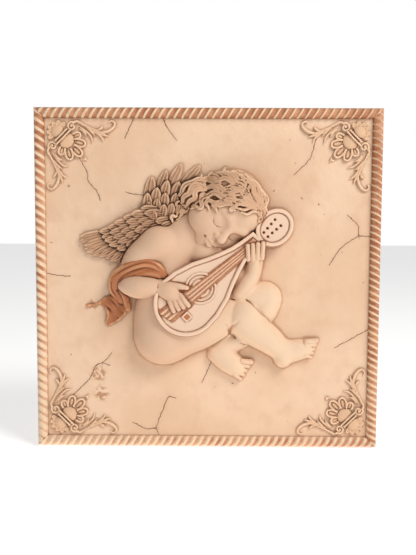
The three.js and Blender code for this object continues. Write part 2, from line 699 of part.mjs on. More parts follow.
const creamCasting = new THREE.MeshStandardMaterial({ color: 0xeccbb0, roughness: 0.62, metalness: 0 });
const plaque = new THREE.Mesh(plaqueGeometry(), creamCasting);
plaque.name = 'plaque';

const part = new THREE.Group();
part.add(plaque);

export default part;
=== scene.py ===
# %% [markdown]
# # A cherub wall plaque
# The object is one square casting: a trowelled field in a rope border, an ornament in each
# corner, and a winged child who rests on a lute. Everything here is in millimetres on the
# plaque's front and becomes metres at the end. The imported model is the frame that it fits.

# %% Load the frame and the tools
import math
import bpy
import numpy as np
import openvdb
from mathutils import Matrix, Vector


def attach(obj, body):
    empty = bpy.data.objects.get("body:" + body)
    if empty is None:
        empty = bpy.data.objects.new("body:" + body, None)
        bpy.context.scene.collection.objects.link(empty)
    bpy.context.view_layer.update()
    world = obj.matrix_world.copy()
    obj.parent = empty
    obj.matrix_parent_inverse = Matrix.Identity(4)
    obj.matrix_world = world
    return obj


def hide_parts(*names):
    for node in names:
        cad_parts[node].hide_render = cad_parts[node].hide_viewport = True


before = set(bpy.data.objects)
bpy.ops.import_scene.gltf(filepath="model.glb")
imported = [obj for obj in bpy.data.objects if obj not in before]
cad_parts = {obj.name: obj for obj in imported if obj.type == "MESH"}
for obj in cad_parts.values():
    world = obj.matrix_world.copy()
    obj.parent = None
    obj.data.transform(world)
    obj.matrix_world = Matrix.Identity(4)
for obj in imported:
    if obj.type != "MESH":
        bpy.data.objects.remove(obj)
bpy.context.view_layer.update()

# %% Sizes that everything shares
MM = 0.001
WIDTH, HEIGHT = 254.0, 250.5
FIELD = 12.0           # back of the casting to its field
RIM = 9.0              # back to the foot of the rope
ROPE_WIDTH = 8.5
TOP = 23.9             # the highest level above the field that any form may reach
FAR = 9.0              # distance that stands for "well outside"
SEED = 7


def linked(name, data):
    """A new object for a mesh, a camera or a lamp, linked to the scene."""
    made = bpy.data.objects.new(name, data)
    bpy.context.scene.collection.objects.link(made)
    return made


print("the casting is", WIDTH, "by", HEIGHT, "mm")

# %% [markdown]
# ## The view
# The photograph was taken from almost straight ahead and a little above, with soft light
# from the upper right. The camera stands where the plaque's four corners fall on the
# photograph's. A wide soft key, a weak fill and a pale surround keep the relief readable.

# %% Camera
VIEW_WIDTH, VIEW_FOCUS = 416.0, 685.0      # pixels of the photograph
VIEW_DISTANCE = 498.0                      # millimetres from the target
SENSOR = 36.0
target = np.array([0.35, -18.0, 2.3])
azimuth, elevation, roll = (math.radians(value) for value in (0.43, 4.48, 0.28))
backwards = np.array([math.sin(azimuth) * math.cos(elevation),
                      -math.cos(azimuth) * math.cos(elevation), math.sin(elevation)])
level_right = np.cross(-backwards, [0, 0, 1])
level_right /= np.linalg.norm(level_right)
level_up = np.cross(level_right, -backwards)
right = math.cos(roll) * level_right + math.sin(roll) * level_up
up = math.cos(roll) * level_up - math.sin(roll) * level_right


def stand(made, right, up, back, where):
    """Puts a camera or a lamp in its place; it looks away from back."""
    place = np.eye(4)
    place[:3, 0], place[:3, 1], place[:3, 2], place[:3, 3] = right, up, back, where
    made.matrix_world = [list(row) for row in place.T]


camera = linked("view", bpy.data.cameras.new("view"))
camera.data.sensor_fit = "HORIZONTAL"
camera.data.sensor_width = SENSOR
camera.data.lens = SENSOR * VIEW_FOCUS / VIEW_WIDTH
camera.data.clip_start, camera.data.clip_end = 0.01, 10.0
viewpoint = (target + backwards * VIEW_DISTANCE) * MM
stand(camera, right, up, backwards, viewpoint)
bpy.context.scene.camera = camera
print("camera at", np.round(viewpoint, 3))


# %% Lights
def soft_light(name, where, size, power, tint):
    """A square lamp that looks at the middle of the plaque."""
    lamp = linked(name, bpy.data.lights.new(name, "AREA"))
    lamp.data.size, lamp.data.energy, lamp.data.color = size, power, tint
    away = np.array(where) - target * MM
    away /= np.linalg.norm(away)
    side = np.cross([0, 0, 1], away)
    side /= np.linalg.norm(side)
    stand(lamp, side, np.cross(away, side), away, where)


soft_light("key_light", (0.75, -0.75, 0.95), 0.5, 12.2, (1.0, 0.985, 0.96))
soft_light("fill_light", (-0.9, -0.9, 0.25), 1.0, 1.0, (1.0, 0.97, 0.93))
world = bpy.data.worlds.new("surround")
bpy.context.scene.world = world
world.use_nodes = True
surround = world.node_tree.nodes["Background"]
surround.inputs["Color"].default_value = (1.0, 1.0, 1.0, 1.0)
seen = world.node_tree.nodes.new("ShaderNodeLightPath")
bright = world.node_tree.nodes.new("ShaderNodeMapRange")
bright.inputs["To Min"].default_value, bright.inputs["To Max"].default_value = 0.2, 1.0
world.node_tree.links.new(seen.outputs["Is Camera Ray"], bright.inputs["Value"])
world.node_tree.links.new(bright.outputs["Result"], surround.inputs["Strength"])
bpy.context.scene.view_settings.view_transform = "Standard"
print("a key light, a fill light and a pale surround")

# %% [markdown]
# ## Clay
# A relief has soft joins that are hard to pull out of boxes and tubes. So each form is
# described by distances: every point of a fine grid knows how far it lies from the clay.
# Two forms join by taking the smaller distance, and a rounded minimum gives the soft
# fillet that a thumb leaves. OpenVDB then finds the skin where the distance is zero.

# %% Clay on a grid
def soft_min(a, b, blend):
    """The smaller of two distances, with a fillet as wide as blend."""
    if blend <= 0:
        return np.minimum(a, b)
    share = np.clip(0.5 + 0.5 * (b - a) / blend, 0, 1)
    return b + (a - b) * share - blend * share * (1 - share)


class Clay:
    """A block of distances; its axes are x, level and z, in millimetres."""

    def __init__(self, low, high, step):
        self.low, self.step = np.array(low, float), step
        counts = np.ceil((np.array(high, float) - self.low) / step).astype(int) + 1
        self.axes = [self.low[k] + step * np.arange(counts[k]) for k in range(3)]
        self.field = np.full(counts, FAR, np.float32)

    def window(self, low, high):
        """The part of the grid inside a box, and its coordinates."""
        cut = []
        for k in range(3):
            first = int(math.floor((low[k] - self.low[k]) / self.step))
            last = int(math.ceil((high[k] - self.low[k]) / self.step)) + 1
            cut.append(slice(max(first, 0), max(min(last, len(self.axes[k])), 0)))
        return tuple(cut), np.ix_(*[self.axes[k][cut[k]] for k in range(3)])

    def put(self, cut, distance, blend=0.0, carve=False):
        old = self.field[cut]
        if carve:
            self.field[cut] = -soft_min(distance, -old, blend)
        else:
            self.field[cut] = soft_min(distance, old, blend)

    def egg(self, centre, half, turn=0.0, blend=0.0, carve=False):
        """An egg at x, z, level; half lengths along its turn, across it and outwards."""
        x0, z0, level0 = centre
        reach = max(half) + blend + 2
        low, high = (x0 - reach, level0 - reach, z0 - reach), (x0 + reach, level0 + reach, z0 + reach)
        cut, (x, level, z) = self.window(low, high)
        c, k = math.cos(turn), math.sin(turn)
        u, v = (x - x0) * c + (z - z0) * k, (z - z0) * c - (x - x0) * k
        self.put(cut, egg_distance((u, v, level - level0), half), blend, carve)

    def limb(self, stations, blend=0.0, lift=1.0, bends=5, carve=False):
        """A bar through stations of x, z, half width, base level; lift stretches it out."""
        path = smooth_path(stations, bends)
        reach = blend + 2.0
        centres = path[:, [0, 3, 1]]
        radii = path[:, 2]
        pad = (radii.max() + reach) * np.array([1, lift, 1])
        whole, _ = self.window((centres - pad).min(0), (centres + pad).max(0))
        work = np.full([s.stop - s.start for s in whole], FAR, np.float32)
        starts = [s.start for s in whole]
        for a, b, ra, rb in zip(centres, centres[1:], radii, radii[1:]):
            widest = (max(ra, rb) + reach) * np.array([1, lift, 1])
            cut, grid = self.window(np.minimum(a, b) - widest, np.maximum(a, b) + widest)
            local = tuple(slice(s.start - o, s.stop - o) for s, o in zip(cut, starts))
            distance = bar_distance(grid, a, b, ra, rb, lift)
            work[local] = np.minimum(work[local], distance)
        self.put(whole, work, blend, carve)

    def top(self, columns):
        """Highest level with clay in each column of inside-or-outside flags."""
        return self.low[1] + self.step * (columns.shape[1] - 1 - columns[:, ::-1].argmax(axis=1))


# %% Paths, distances and maps that several forms share
def smooth_path(stations, bends):
    """More stations between the given ones, on a smooth curve through them."""
    points = np.array(stations, float)
    if len(points) < 3 or bends < 2:
        return points
    ends = np.vstack([2 * points[0] - points[1], points, 2 * points[-1] - points[-2]])
    out = []
    for p0, p1, p2, p3 in zip(ends, ends[1:], ends[2:], ends[3:]):
        for t in np.arange(bends) / bends:
            out.append(0.5 * (2 * p1 + (p2 - p0) * t + (2 * p0 - 5 * p1 + 4 * p2 - p3) * t * t
                              + (3 * p1 - p0 - 3 * p2 + p3) * t ** 3))
    return np.array(out + [points[-1]])


def blurred(values, reach, step):
    """A Gaussian average of a map over reach millimetres; its cells are step wide."""
    span = int(reach / step * 3) + 1
    bell = np.exp(-0.5 * (np.arange(-span, span + 1) * step / reach) ** 2)
    bell /= bell.sum()
    for axis in (0, 1):
        values = np.pad(values, [(span, span) if k == axis else (0, 0) for k in (0, 1)], mode="edge")
        values = np.apply_along_axis(lambda line: np.convolve(line, bell, "valid"), axis, values)
    return values


def between_cells(values, u, v):
    """A map's value at cell coordinates u, v, weighed between the four cells around them."""
    i, j = u.astype(int), v.astype(int)
    a, b = u - i, v - j
    return ((values[i, j] * (1 - a) + values[i + 1, j] * a) * (1 - b)
            + (values[i, j + 1] * (1 - a) + values[i + 1, j + 1] * a) * b)


def egg_distance(offsets, half):
    """Distance from an egg, true close to its skin, from the offsets along its half lengths."""
    near = np.sqrt(sum((value / size) ** 2 for value, size in zip(offsets, half)))
    slope = np.sqrt(sum((value / size ** 2) ** 2 for value, size in zip(offsets, half)))
    return near * (near - 1) / np.maximum(slope, 1e-4)


def line_distance(x, z, start, end):
    """Distance from a straight line between two points."""
    (ax, az), (bx, bz) = start, end
    dx, dz = bx - ax, bz - az
    t = np.clip(((x - ax) * dx + (z - az) * dz) / (dx * dx + dz * dz), 0, 1)
    return np.hypot(x - ax - t * dx, z - az - t * dz)


def plate(beside, above, radius):
    """Distance from a plate with a round rim, from the distances beside and above it."""
    beside, above = beside + radius, above + radius
    corner_gap = np.hypot(np.maximum(beside, 0), np.maximum(above, 0))
    return corner_gap + np.minimum(np.maximum(beside, above), 0) - radius


def bar_distance(grid, a, b, ra, rb, lift):
    """Distance from a bar between two balls, in a space squeezed outwards by lift."""
    x, level, z = grid
    ax, ay, az = a[0], a[1] / lift, a[2]
    bx, by, bz = b[0] - ax, b[1] / lift - ay, b[2] - az
    dx, dy, dz = x - ax, level / lift - ay, z - az
    length = max(bx * bx + by * by + bz * bz, 1e-9)
    t = np.clip((dx * bx + dy * by + dz * bz) / length, 0, 1)
    gap = np.sqrt((dx - t * bx) ** 2 + (dy - t * by) ** 2 + (dz - t * bz) ** 2)
    return (gap - (ra + (rb - ra) * t)).astype(np.float32)


# %% From clay to a mesh
pieces = {}


def add_mesh(name, points, quads, paint, values=None):
    """A Blender mesh from points in row-frame millimetres and quads that face outwards."""
    mesh = bpy.data.meshes.new(name)
    mesh.vertices.add(len(points))
    mesh.vertices.foreach_set("co", (points * MM).astype(np.float32).ravel())
    mesh.loops.add(quads.size)
    mesh.loops.foreach_set("vertex_index", quads.astype(np.int32).ravel())
    mesh.polygons.add(len(quads))
    mesh.polygons.foreach_set("loop_start", np.arange(0, quads.size, quads.shape[1], dtype=np.int32))
    mesh.update(calc_edges=True)
    mesh.validate()
    return place_mesh(name, mesh, paint, values)


def place_mesh(name, mesh, paint, values=None):
    """Links a finished plain mesh as a piece."""
    mesh.polygons.foreach_set("use_smooth", np.ones(len(mesh.polygons), bool))
    return keep_piece(linked(name, mesh), paint, values)


def plain_mesh(name, points, faces):
    """A mesh from points in metres and faces with any number of corners."""
    mesh = bpy.data.meshes.new(name)
    mesh.from_pydata([tuple(point) for point in points], [], faces)
    mesh.update()
    return mesh


def store(mesh, key, data):
    """Stores one value for each point of a mesh."""
    layer = mesh.attributes.new(key, "FLOAT", "POINT")
    layer.data.foreach_set("value", np.asarray(data, np.float32))


def keep_piece(piece, paint, values=None):
    """Enters a finished piece: it rides on the casting and stands for the CAD node."""
    piece.data.materials.clear()
    piece.data.materials.append(paint)
    for key, data in (values or {}).items():
        store(piece.data, key, data)
    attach(piece, "root")
    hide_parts("plaque")
    pieces[piece.name] = piece
    print(piece.name, len(piece.data.vertices), "points")
    return piece


def skin(clay):
    """The clay's skin as points of x, level, z and quads."""
    grid = openvdb.FloatGrid(FAR)
    grid.copyFromArray(np.clip(clay.field, -3, 3))
    points, quads = grid.convertToQuads(0)
    return clay.low + clay.step * points.astype(float), quads


def on_plaque(points):
    """Points of x, level, z brought to the row frame, whose front faces -Y."""
    return np.stack([points[:, 0], -FIELD - points[:, 1], points[:, 2]], 1)


def cast(name, clay, paint, values=None, lay=lambda points: points):
    """The usual way from clay to a piece. lay brings its points to x, level, z, and turning the
    level over also turns the faces."""
    points, quads = skin(clay)
    extra = {key: rule(points) for key, rule in (values or {}).items()}
    return add_mesh(name, on_plaque(lay(points)), quads[:, ::-1], paint, extra)


# %% [markdown]
# ## Finishes
# The casting is painted: a peach cream ground, paler cream on the figure, and a brown wash
# that was wiped off the high places and stays in the hollows. Rope, strings and ribbon are
# rubbed with copper. Values stored on each mesh say how deep a point lies in a hollow or how
# high it stands, and the recipes below turn them into colour: the wash, painted shade in
# broad hollows and painted highlights on crests. Node trees are long to write by hand, so a
# small class turns sums written in Python into Math nodes, here and later for Geometry Nodes.

# %% A small language for sums on nodes
class Wire:
    """A value on its way through a node tree; sums and products on it add Math nodes."""

    def __init__(self, host, socket):
        self.host, self.socket = host, socket

    def maths(self, operation, *values):
        return self.host.node("ShaderNodeMath", {"operation": operation}, dict(enumerate(values)))

    def __add__(self, other):
        return self.maths("ADD", self, other)

    def __sub__(self, other):
        return self.maths("SUBTRACT", self, other)

    def __rsub__(self, other):
        return self.maths("SUBTRACT", other, self)

    def __mul__(self, other):
        return self.maths("MULTIPLY", self, other)

    def __truediv__(self, other):
        return self.maths("DIVIDE", self, other)

    def __abs__(self):
        return self.maths("ABSOLUTE", self)

    __radd__, __rmul__ = __add__, __mul__

    def sin(self):
        return self.maths("SINE", self)

    def cos(self):
        return self.maths("COSINE", self)

    def power(self, exponent):
        return self.maths("POWER", self, exponent)

    def smooth(self, low, high):
        """0 below low, 1 above high, and a soft ramp between."""
        return self.host.node("ShaderNodeMapRange", {"interpolation_type": "SMOOTHSTEP"},
                              {"Value": self, "From Min": low, "From Max": high}, "Result")


class Host:
    """A node tree that makes and feeds any node."""

    def __init__(self, tree):
        self.tree = tree

    def node(self, kind, settings, inputs, output=0):
        """Any node: its settings first, then the values or links of its sockets."""
        made = self.tree.nodes.new(kind)
        for key, value in settings.items():
            setattr(made, key, value)
        for key, value in inputs.items():
            self.feed(made.inputs[key], value)
        return Wire(self, made.outputs[output])

    def feed(self, socket, value):
        if isinstance(value, Wire):
            self.tree.links.new(value.socket, socket)
        else:
            socket.default_value = value


# %% One material
class Recipe(Host):
    """A material whose surface shader is fed from values, noise and mixes."""

    def __init__(self, name):
        self.material = bpy.data.materials.new(name)
        self.material.use_nodes = True
        super().__init__(self.material.node_tree)
        self.surface = self.tree.nodes["Principled BSDF"]

    def set(self, inputs):
        for key, value in inputs.items():
            self.feed(self.surface.inputs[key], value)

    def value(self, name):
        return self.node("ShaderNodeAttribute", {"attribute_name": name}, {}, "Fac")

    def place(self):
        return self.node("ShaderNodeTexCoord", {}, {}, "Object")

    def lean(self, direction):
        """How far a point lies along a direction, on Object coordinates."""
        return self.node("ShaderNodeVectorMath", {"operation": "DOT_PRODUCT"},
                         {0: self.place(), 1: direction}, "Value")

    def noise(self, scale, detail=3.0):
        """Noise on Object coordinates; scale is in waves per metre."""
        return self.node("ShaderNodeTexNoise", {}, {"Vector": self.place(), "Scale": scale,
                                                    "Detail": detail, "Roughness": 0.55}, "Fac")

    def mix(self, share, first, second):
        """A colour between two colours."""
        return self.node("ShaderNodeMix", {"data_type": "RGBA", "blend_type": "MIX"},
                         {0: share, 6: first, 7: second}, 2)

    def bump(self, height, strength, distance=0.0002):
        return self.node("ShaderNodeBump", {}, {"Height": height, "Strength": strength,
                                                "Distance": distance}, "Normal")


# %% The painted casting
def colour(red, green, blue):
    """A shader colour from the 0 to 255 numbers of a paint chart."""
    return tuple((value / 255 / 12.92 if value <= 10 else ((value / 255 + 0.055) / 1.055) ** 2.4)
                 for value in (red, green, blue)) + (1.0,)


def painted(name, clean, shade, wash, crest_highlight, hold, strength=1.0, rough=0.62, broad=0.75, pale=None):
    """A finish with painted shade in broad hollows, a wash in fine ones and rubbed crests that carry
    a painted highlight. hold says from which depth to which the wash grows. Given a pale colour,
    the paint turns paler towards the lower right, a painted highlight."""
    paint = Recipe(name)
    clean, shade, wash, crest_highlight = (colour(*tint) for tint in (clean, shade, wash, crest_highlight))
    hollow, low, high = paint.value("wash"), paint.value("low"), paint.value("crest_highlight")
    cloud = paint.noise(45.0, 4.0)
    fine = paint.noise(900.0, 2.0)
    tone = paint.mix((cloud - 0.5) * 0.5 + 0.12, clean, shade)
    # Painted highlight: given a pale colour, the paint turns paler towards the lower right.
    if pale:
        tone = paint.mix(paint.lean((1.0, 0.0, -0.5)).smooth(-0.015, 0.06), tone, colour(*pale))
    # Painted shade: broad hollows beside high forms take the shade colour, as strongly as broad says.
    tone = paint.mix(low.smooth(0.1, 1.0) * broad, tone, shade)
    # Crests: rubbed, and lighter than the clean paint as a painted highlight.
    tone = paint.mix((high + (fine - 0.5) * 0.3).smooth(0.15, 0.9) * 0.85, tone, crest_highlight)
    share = (hollow + (cloud - 0.5) * 0.35 + (fine - 0.5) * 0.3).smooth(*hold) * strength
    paint.set({"Base Color": paint.mix(share, tone, wash),
               "Roughness": rough + (fine - 0.5) * 0.15 + share * 0.1,
               "Specular IOR Level": 0.35,
               "Normal": paint.bump(fine * 0.5 + cloud, 0.25)})
    return paint.material


# The figure's cream turns paler towards the lower right, a painted highlight.
skin_paint = painted("figure_cream", (229, 191, 160), (204, 161, 128), (156, 106, 73), (236, 199, 168),
                     hold=(0.5, 1.5), strength=0.8, broad=0.4, pale=(240, 208, 176))
hair_paint = painted("washed_hair", (218, 174, 140), (194, 146, 112), (116, 78, 54), (240, 204, 170),
                     hold=(0.12, 0.95))
wing_paint = painted("washed_wings", (194, 150, 117), (168, 122, 92), (98, 66, 46), (232, 194, 160),
                     hold=(0.1, 0.8))
corner_paint = painted("washed_corners", (232, 192, 156), (208, 162, 124), (150, 104, 72), (246, 214, 182),
                       hold=(0.1, 0.9))
lute_paint = painted("lute_rose", (240, 207, 180), (226, 188, 158), (152, 100, 70), (243, 208, 180),
                     hold=(0.12, 0.8))
copper_paint = painted("rubbed_copper", (192, 121, 78), (152, 92, 57), (100, 56, 32), (226, 170, 126),
                       hold=(0.2, 1.0), rough=0.4)


# %% The field: cloudy peach with cracks, stains and painted shade beside high forms
def field_recipe():
    paint = Recipe("field_plaster")
    hollow, low = paint.value("wash"), paint.value("low")
    side, near, stain = paint.value("crack_side"), paint.value("crack_near"), paint.value("stain")
    broad, cloud, fine = paint.noise(14.0, 4.0), paint.noise(75.0, 5.0), paint.noise(700.0, 3.0)
    rag = paint.noise(330.0, 3.0)
    crack = (1.0 - abs(side + (rag - 0.5) * 2.0).smooth(0.06, 0.4)) * near.smooth(0.05, 0.6)
    pit = paint.noise(240.0, 1.0).smooth(0.755, 0.8)
    tone = paint.mix(broad.smooth(0.38, 0.62), colour(242, 208, 177), colour(234, 197, 164))
    tone = paint.mix(cloud.smooth(0.45, 0.8) * 0.45, tone, colour(222, 180, 146))
    # Painted shade: the field darkens beside high forms.
    tone = paint.mix(low.smooth(0.1, 1.0) * 0.3, tone, colour(216, 170, 134))
    tone = paint.mix(hollow.smooth(0.25, 1.0) * 0.4, tone, colour(170, 116, 80))
    tone = paint.mix(stain.smooth(0.1, 0.7) * rag.smooth(0.44, 0.54) * 0.8, tone, colour(182, 128, 88))
    tone = paint.mix(near * 0.12, tone, colour(190, 140, 106))
    mark = crack.maths("MAXIMUM", crack * 0.9, pit * 0.5)
    paint.set({"Base Color": paint.mix(mark, tone, colour(118, 74, 50)),
               "Roughness": 0.6 + (fine - 0.5) * 0.2, "Specular IOR Level": 0.3,
               "Normal": paint.bump(broad * 4.0 + cloud * 1.8 + fine * 0.3 - mark * 1.2, 0.7, 0.0006)})
    return paint.material


field_paint = field_recipe()


# %% Rope: cream on the ridges and copper in the grooves, with painted light and shade by side
def rope_recipe():
    paint = Recipe("rope_copper_and_cream")
    ridge, hollow = paint.value("ridge"), paint.value("wash")
    cloud, fine = paint.noise(60.0, 3.0), paint.noise(900.0, 2.0)
    copper = paint.mix(cloud.smooth(0.3, 0.7), colour(184, 118, 80), colour(214, 156, 116))
    # Painted light and shade: the cream share grows on the left and bottom ropes and shrinks on the top and
    # right ones.
    lean = paint.lean((-1.4, 0.0, -1.85))
    share = (ridge + lean + (fine - 0.5) * 0.3).smooth(0.13, 0.68)
    tone = paint.mix(share, copper, colour(246, 216, 184))
    # Painted shade and light at the inner foot: dark brown on the top and right ropes, pale cream on the left
    # and bottom ones.
    foot = paint.value("inner").smooth(0.62, 0.92) * (1.0 - share * 0.75)
    foot_light_and_shade = paint.mix(lean.smooth(-0.04, 0.06), colour(128, 80, 46), colour(246, 214, 180))
    tone = paint.mix(foot * 0.75, tone, foot_light_and_shade)
    paint.set({"Base Color": paint.mix(hollow.smooth(0.3, 1.0) * 0.8, tone, colour(110, 62, 36)),
               "Roughness": 0.5 + fine * 0.15, "Specular IOR Level": 0.4, "Normal": paint.bump(fine, 0.2)})
    return paint.material


rope_paint = rope_recipe()


# %% Strings: copper bars with pale threads between them
def string_recipe():
    paint = Recipe("strings_copper_and_cream")
    thread, hollow, fine = paint.value("thread"), paint.value("wash"), paint.noise(700.0, 2.0)
    tone = paint.mix(fine.smooth(0.3, 0.8), colour(170, 108, 72), colour(206, 148, 110))
    tone = paint.mix(thread.smooth(0.3, 0.7), tone, colour(242, 204, 172))
    paint.set({"Base Color": paint.mix(hollow.smooth(0.2, 1.0) * 0.7, tone, colour(112, 62, 38)),
               "Roughness": 0.42 + fine * 0.12, "Specular IOR Level": 0.45,
               "Normal": paint.bump(fine, 0.15)})
    return paint.material


string_paint = string_recipe()
print(len(bpy.data.materials), "materials so far")

# %% [markdown]
# ## A helper for Geometry Nodes
# The rope's strands and the wings' feathers repeat by a rule, so node trees make them. They
# could be clicked together by hand, but written as plain steps they can be read and changed.

# %% Node trees as plain steps
class Growth(Host):
    """One Geometry Nodes tree with named inputs."""

    def __init__(self, name, inputs):
        super().__init__(bpy.data.node_groups.new(name, "GeometryNodeTree"))
        sockets = [("Geometry", "INPUT", "Geometry")]
        sockets += [(key, "INPUT", kind) for key, kind in inputs.items()]
        for key, side, kind in sockets + [("Geometry", "OUTPUT", "Geometry")]:
            self.tree.interface.new_socket(name=key, in_out=side, socket_type="NodeSocket" + kind)
        self.entry = self.tree.nodes.new("NodeGroupInput")

    def given(self, name):
        return Wire(self, self.entry.outputs[name])

    def finish(self, geometry):
        """Makes copies real, coats the result with the given paint and hands it out."""
        real = self.node("GeometryNodeRealizeInstances", {}, {"Geometry": geometry})
        coated = self.node("GeometryNodeSetMaterial", {}, {"Geometry": real, "Material": self.given("Paint")})
        leave = self.tree.nodes.new("NodeGroupOutput")
        self.tree.links.new(coated.socket, leave.inputs[0])

    def grow(self, name, start, values):
        """Runs the tree on a starting mesh and returns the result as a plain mesh."""
        source = linked(name + "_start", start)
        modifier = source.modifiers.new("growth", "NODES")
        modifier.node_group = self.tree
        for item in self.tree.interface.items_tree:
            if item.item_type == "SOCKET" and item.in_out == "INPUT" and item.name in values:
                modifier[item.identifier] = values[item.name]
        graph = bpy.context.evaluated_depsgraph_get()
        mesh = bpy.data.meshes.new_from_object(source.evaluated_get(graph))
        mesh.name = name
        source.modifiers.remove(modifier)
        bpy.data.objects.remove(source)
        return mesh


def point_mesh(name, places, vectors):
    """Loose points in metres that carry vector attributes, for a node tree to grow on."""
    mesh = bpy.data.meshes.new(name)
    mesh.vertices.add(len(places))
    mesh.vertices.foreach_set("co", np.asarray(places, np.float32).ravel())
    for key, data in vectors.items():
        layer = mesh.attributes.new(key, "FLOAT_VECTOR", "POINT")
        layer.data.foreach_set("vector", np.asarray(data, np.float32).ravel())
    return mesh


def mesh_points(mesh):
    """A mesh's points in row-frame millimetres."""
    points = np.empty(len(mesh.vertices) * 3, np.float32)
    mesh.vertices.foreach_get("co", points)
    return points.reshape(-1, 3).astype(float) / MM


# %% [markdown]
# ## Slab and field
# The back of the casting is a flat slab. Its field was trowelled while soft, so it rises
# and falls by a few tenths of a millimetre, and fine cracks run through it. A crack is far
# thinner than the mesh, so each point of the field carries its signed distance from the
# nearest crack, and the finish draws the line where that distance is close to zero.

# %% Slab
def rounded_outline(width, height, radius, steps=5):
    """The corners of a rectangle with rounded corners."""
    corners = []
    for k, (sx, sz) in enumerate(((1, 1), (-1, 1), (-1, -1), (1, -1))):
        for i in range(steps + 1):
            angle = math.pi / 2 * (k + i / steps)
            corners.append((sx * (width / 2 - radius) + radius * math.cos(angle),
                            sz * (height / 2 - radius) + radius * math.sin(angle)))
    return corners


def slab_mesh():
    """Rings of the outline, from the back to the foot of the rope, with eased edges."""
    rings = [(0.6, 0.0), (0.15, 0.15), (0.0, 0.6), (0.0, RIM - 0.5), (0.15, RIM - 0.1), (0.5, RIM + 0.05)]
    points, quads = [], []
    for inset, depth in rings:
        points += [(x, -depth, z) for x, z in rounded_outline(WIDTH - 2 * inset, HEIGHT - 2 * inset, 2.6)]
    count = len(points) // len(rings)
    for ring in range(len(rings) - 1):
        for i in range(count):
            a, b = ring * count + i, ring * count + (i + 1) % count
            quads.append((a, b, b + count, a + count))
    ends = [tuple(range(count))[::-1], tuple(range(len(points) - count, len(points)))]
    return plain_mesh("slab", np.array(points) * MM, quads + ends)


# %% Cracks in the field
CRACKS = [
    [(-53.2, 118.5), (-56.5, 111.9), (-59.9, 104.3)],
    [(-33.2, 118.6), (-30, 111), (-24, 102.7)],
    [(-93.6, 88.4), (-87.8, 77.7), (-87.8, 72.7), (-81.2, 64.4), (-79, 59.4)],
    [(77.7, 101.5), (75.4, 93.3), (73.8, 88.4), (64, 78.3)],
    [(103.1, 46.8), (109.9, 40.1), (110.8, 33.5), (118.4, 32.6)],
    [(110.8, 33.3), (98.5, 24.9), (90.2, 13.1)],
    [(120, -35.3), (104.9, -44), (95.7, -49.2)],
    [(-71.8, -55.8), (-74.6, -59.2), (-78.0, -61.9), (-82.6, -64.3), (-85.5, -70.1), (-86.1, -72.0),
     (-90.8, -77.7), (-100.4, -87.0)],
    [(-78.3, -62.1), (-76.2, -62.7), (-74.2, -63.4)],
    [(-54, -107.8), (-45.4, -112.1), (-38.4, -112), (-35.8, -117.3)],
    [(-38.4, -112), (-33.2, -98), (-28.8, -88.0), (-24.8, -88.2)],
    [(3.6, -59.3), (0.2, -68), (-3.2, -75.1)],
    [(-120, 4.3), (-111, 3), (-102.9, 2.3)],
    [(-58.5, 63.6), (-53.7, 62.4), (-48.4, 62)],
]
STAINS = [     # middle and size
    (-80.8, -70.4, 5.6), (-78.6, -85.5, 5.2), (-84, -18.5, 4.0), (104.5, 109.5, 3.0),
]


def crack_values(x, z):
    """Signed distance to the nearest crack, and how close the point is to it."""
    side, nearest = np.full(x.shape, FAR), np.full(x.shape, FAR)
    for line in CRACKS:
        path = smooth_path(line, 4) if len(line) > 2 else np.array(line)
        for (ax, az), (bx, bz) in zip(path, path[1:]):
            dx, dz = bx - ax, bz - az
            gap = line_distance(x, z, (ax, az), (bx, bz))
            across = ((z - az) * dx - (x - ax) * dz) / math.hypot(dx, dz)
            closer = gap < nearest
            side, nearest = np.where(closer, across, side), np.minimum(nearest, gap)
    return side, np.clip(1.25 - nearest / 2.2, 0, 1)


# %% The trowelled surface
def wander(x, z, seed, waves, longest):
    """A smooth surface from waves in seeded directions, about 1 high."""
    chance = np.random.default_rng(seed)
    total = np.zeros(np.broadcast(x, z).shape)
    for k in range(waves):
        angle, length = chance.uniform(0, math.pi * 2), longest * 0.85 ** k
        phase = chance.uniform(0, math.pi * 2)
        along = (x * math.cos(angle) + z * math.sin(angle)) / length
        total = total + np.sin(along * math.pi * 2 + phase) * 0.9 ** k
    return total / math.sqrt(waves)


GRID = 1.25                # width of a cell
half_x, half_z = WIDTH / 2 - 4.5, HEIGHT / 2 - 4.5      # it ends under the rope
columns = np.linspace(-half_x, half_x, int(round(2 * half_x / GRID)) + 1)
rows = np.linspace(-half_z, half_z, int(round(2 * half_z / GRID)) + 1)
x, z = (part.ravel() for part in np.meshgrid(columns, rows, indexing="ij"))
edge = np.clip(np.minimum(half_x - np.abs(x), half_z - np.abs(z)) / 10.0, 0, 1)
level = -0.12 + edge * (0.13 * wander(x, z, SEED, 12, 60.0) + 0.05 * wander(x, z, SEED + 1, 10, 14.0))
print("field between", round(level.min(), 2), "and", round(level.max(), 2), "mm")


# %% The field as a closed mesh, with walls that go down into the slab
def sheet(across, up):
    """Quads of a grid of points, and the loop of points round its edge."""
    index = np.arange(across * up).reshape(across, up)
    quads = np.stack([index[:-1, :-1], index[1:, :-1], index[1:, 1:], index[:-1, 1:]], -1).reshape(-1, 4)
    return quads, np.concatenate([index[:-1, 0], index[-1, :-1], index[:0:-1, -1], index[0, :0:-1]])


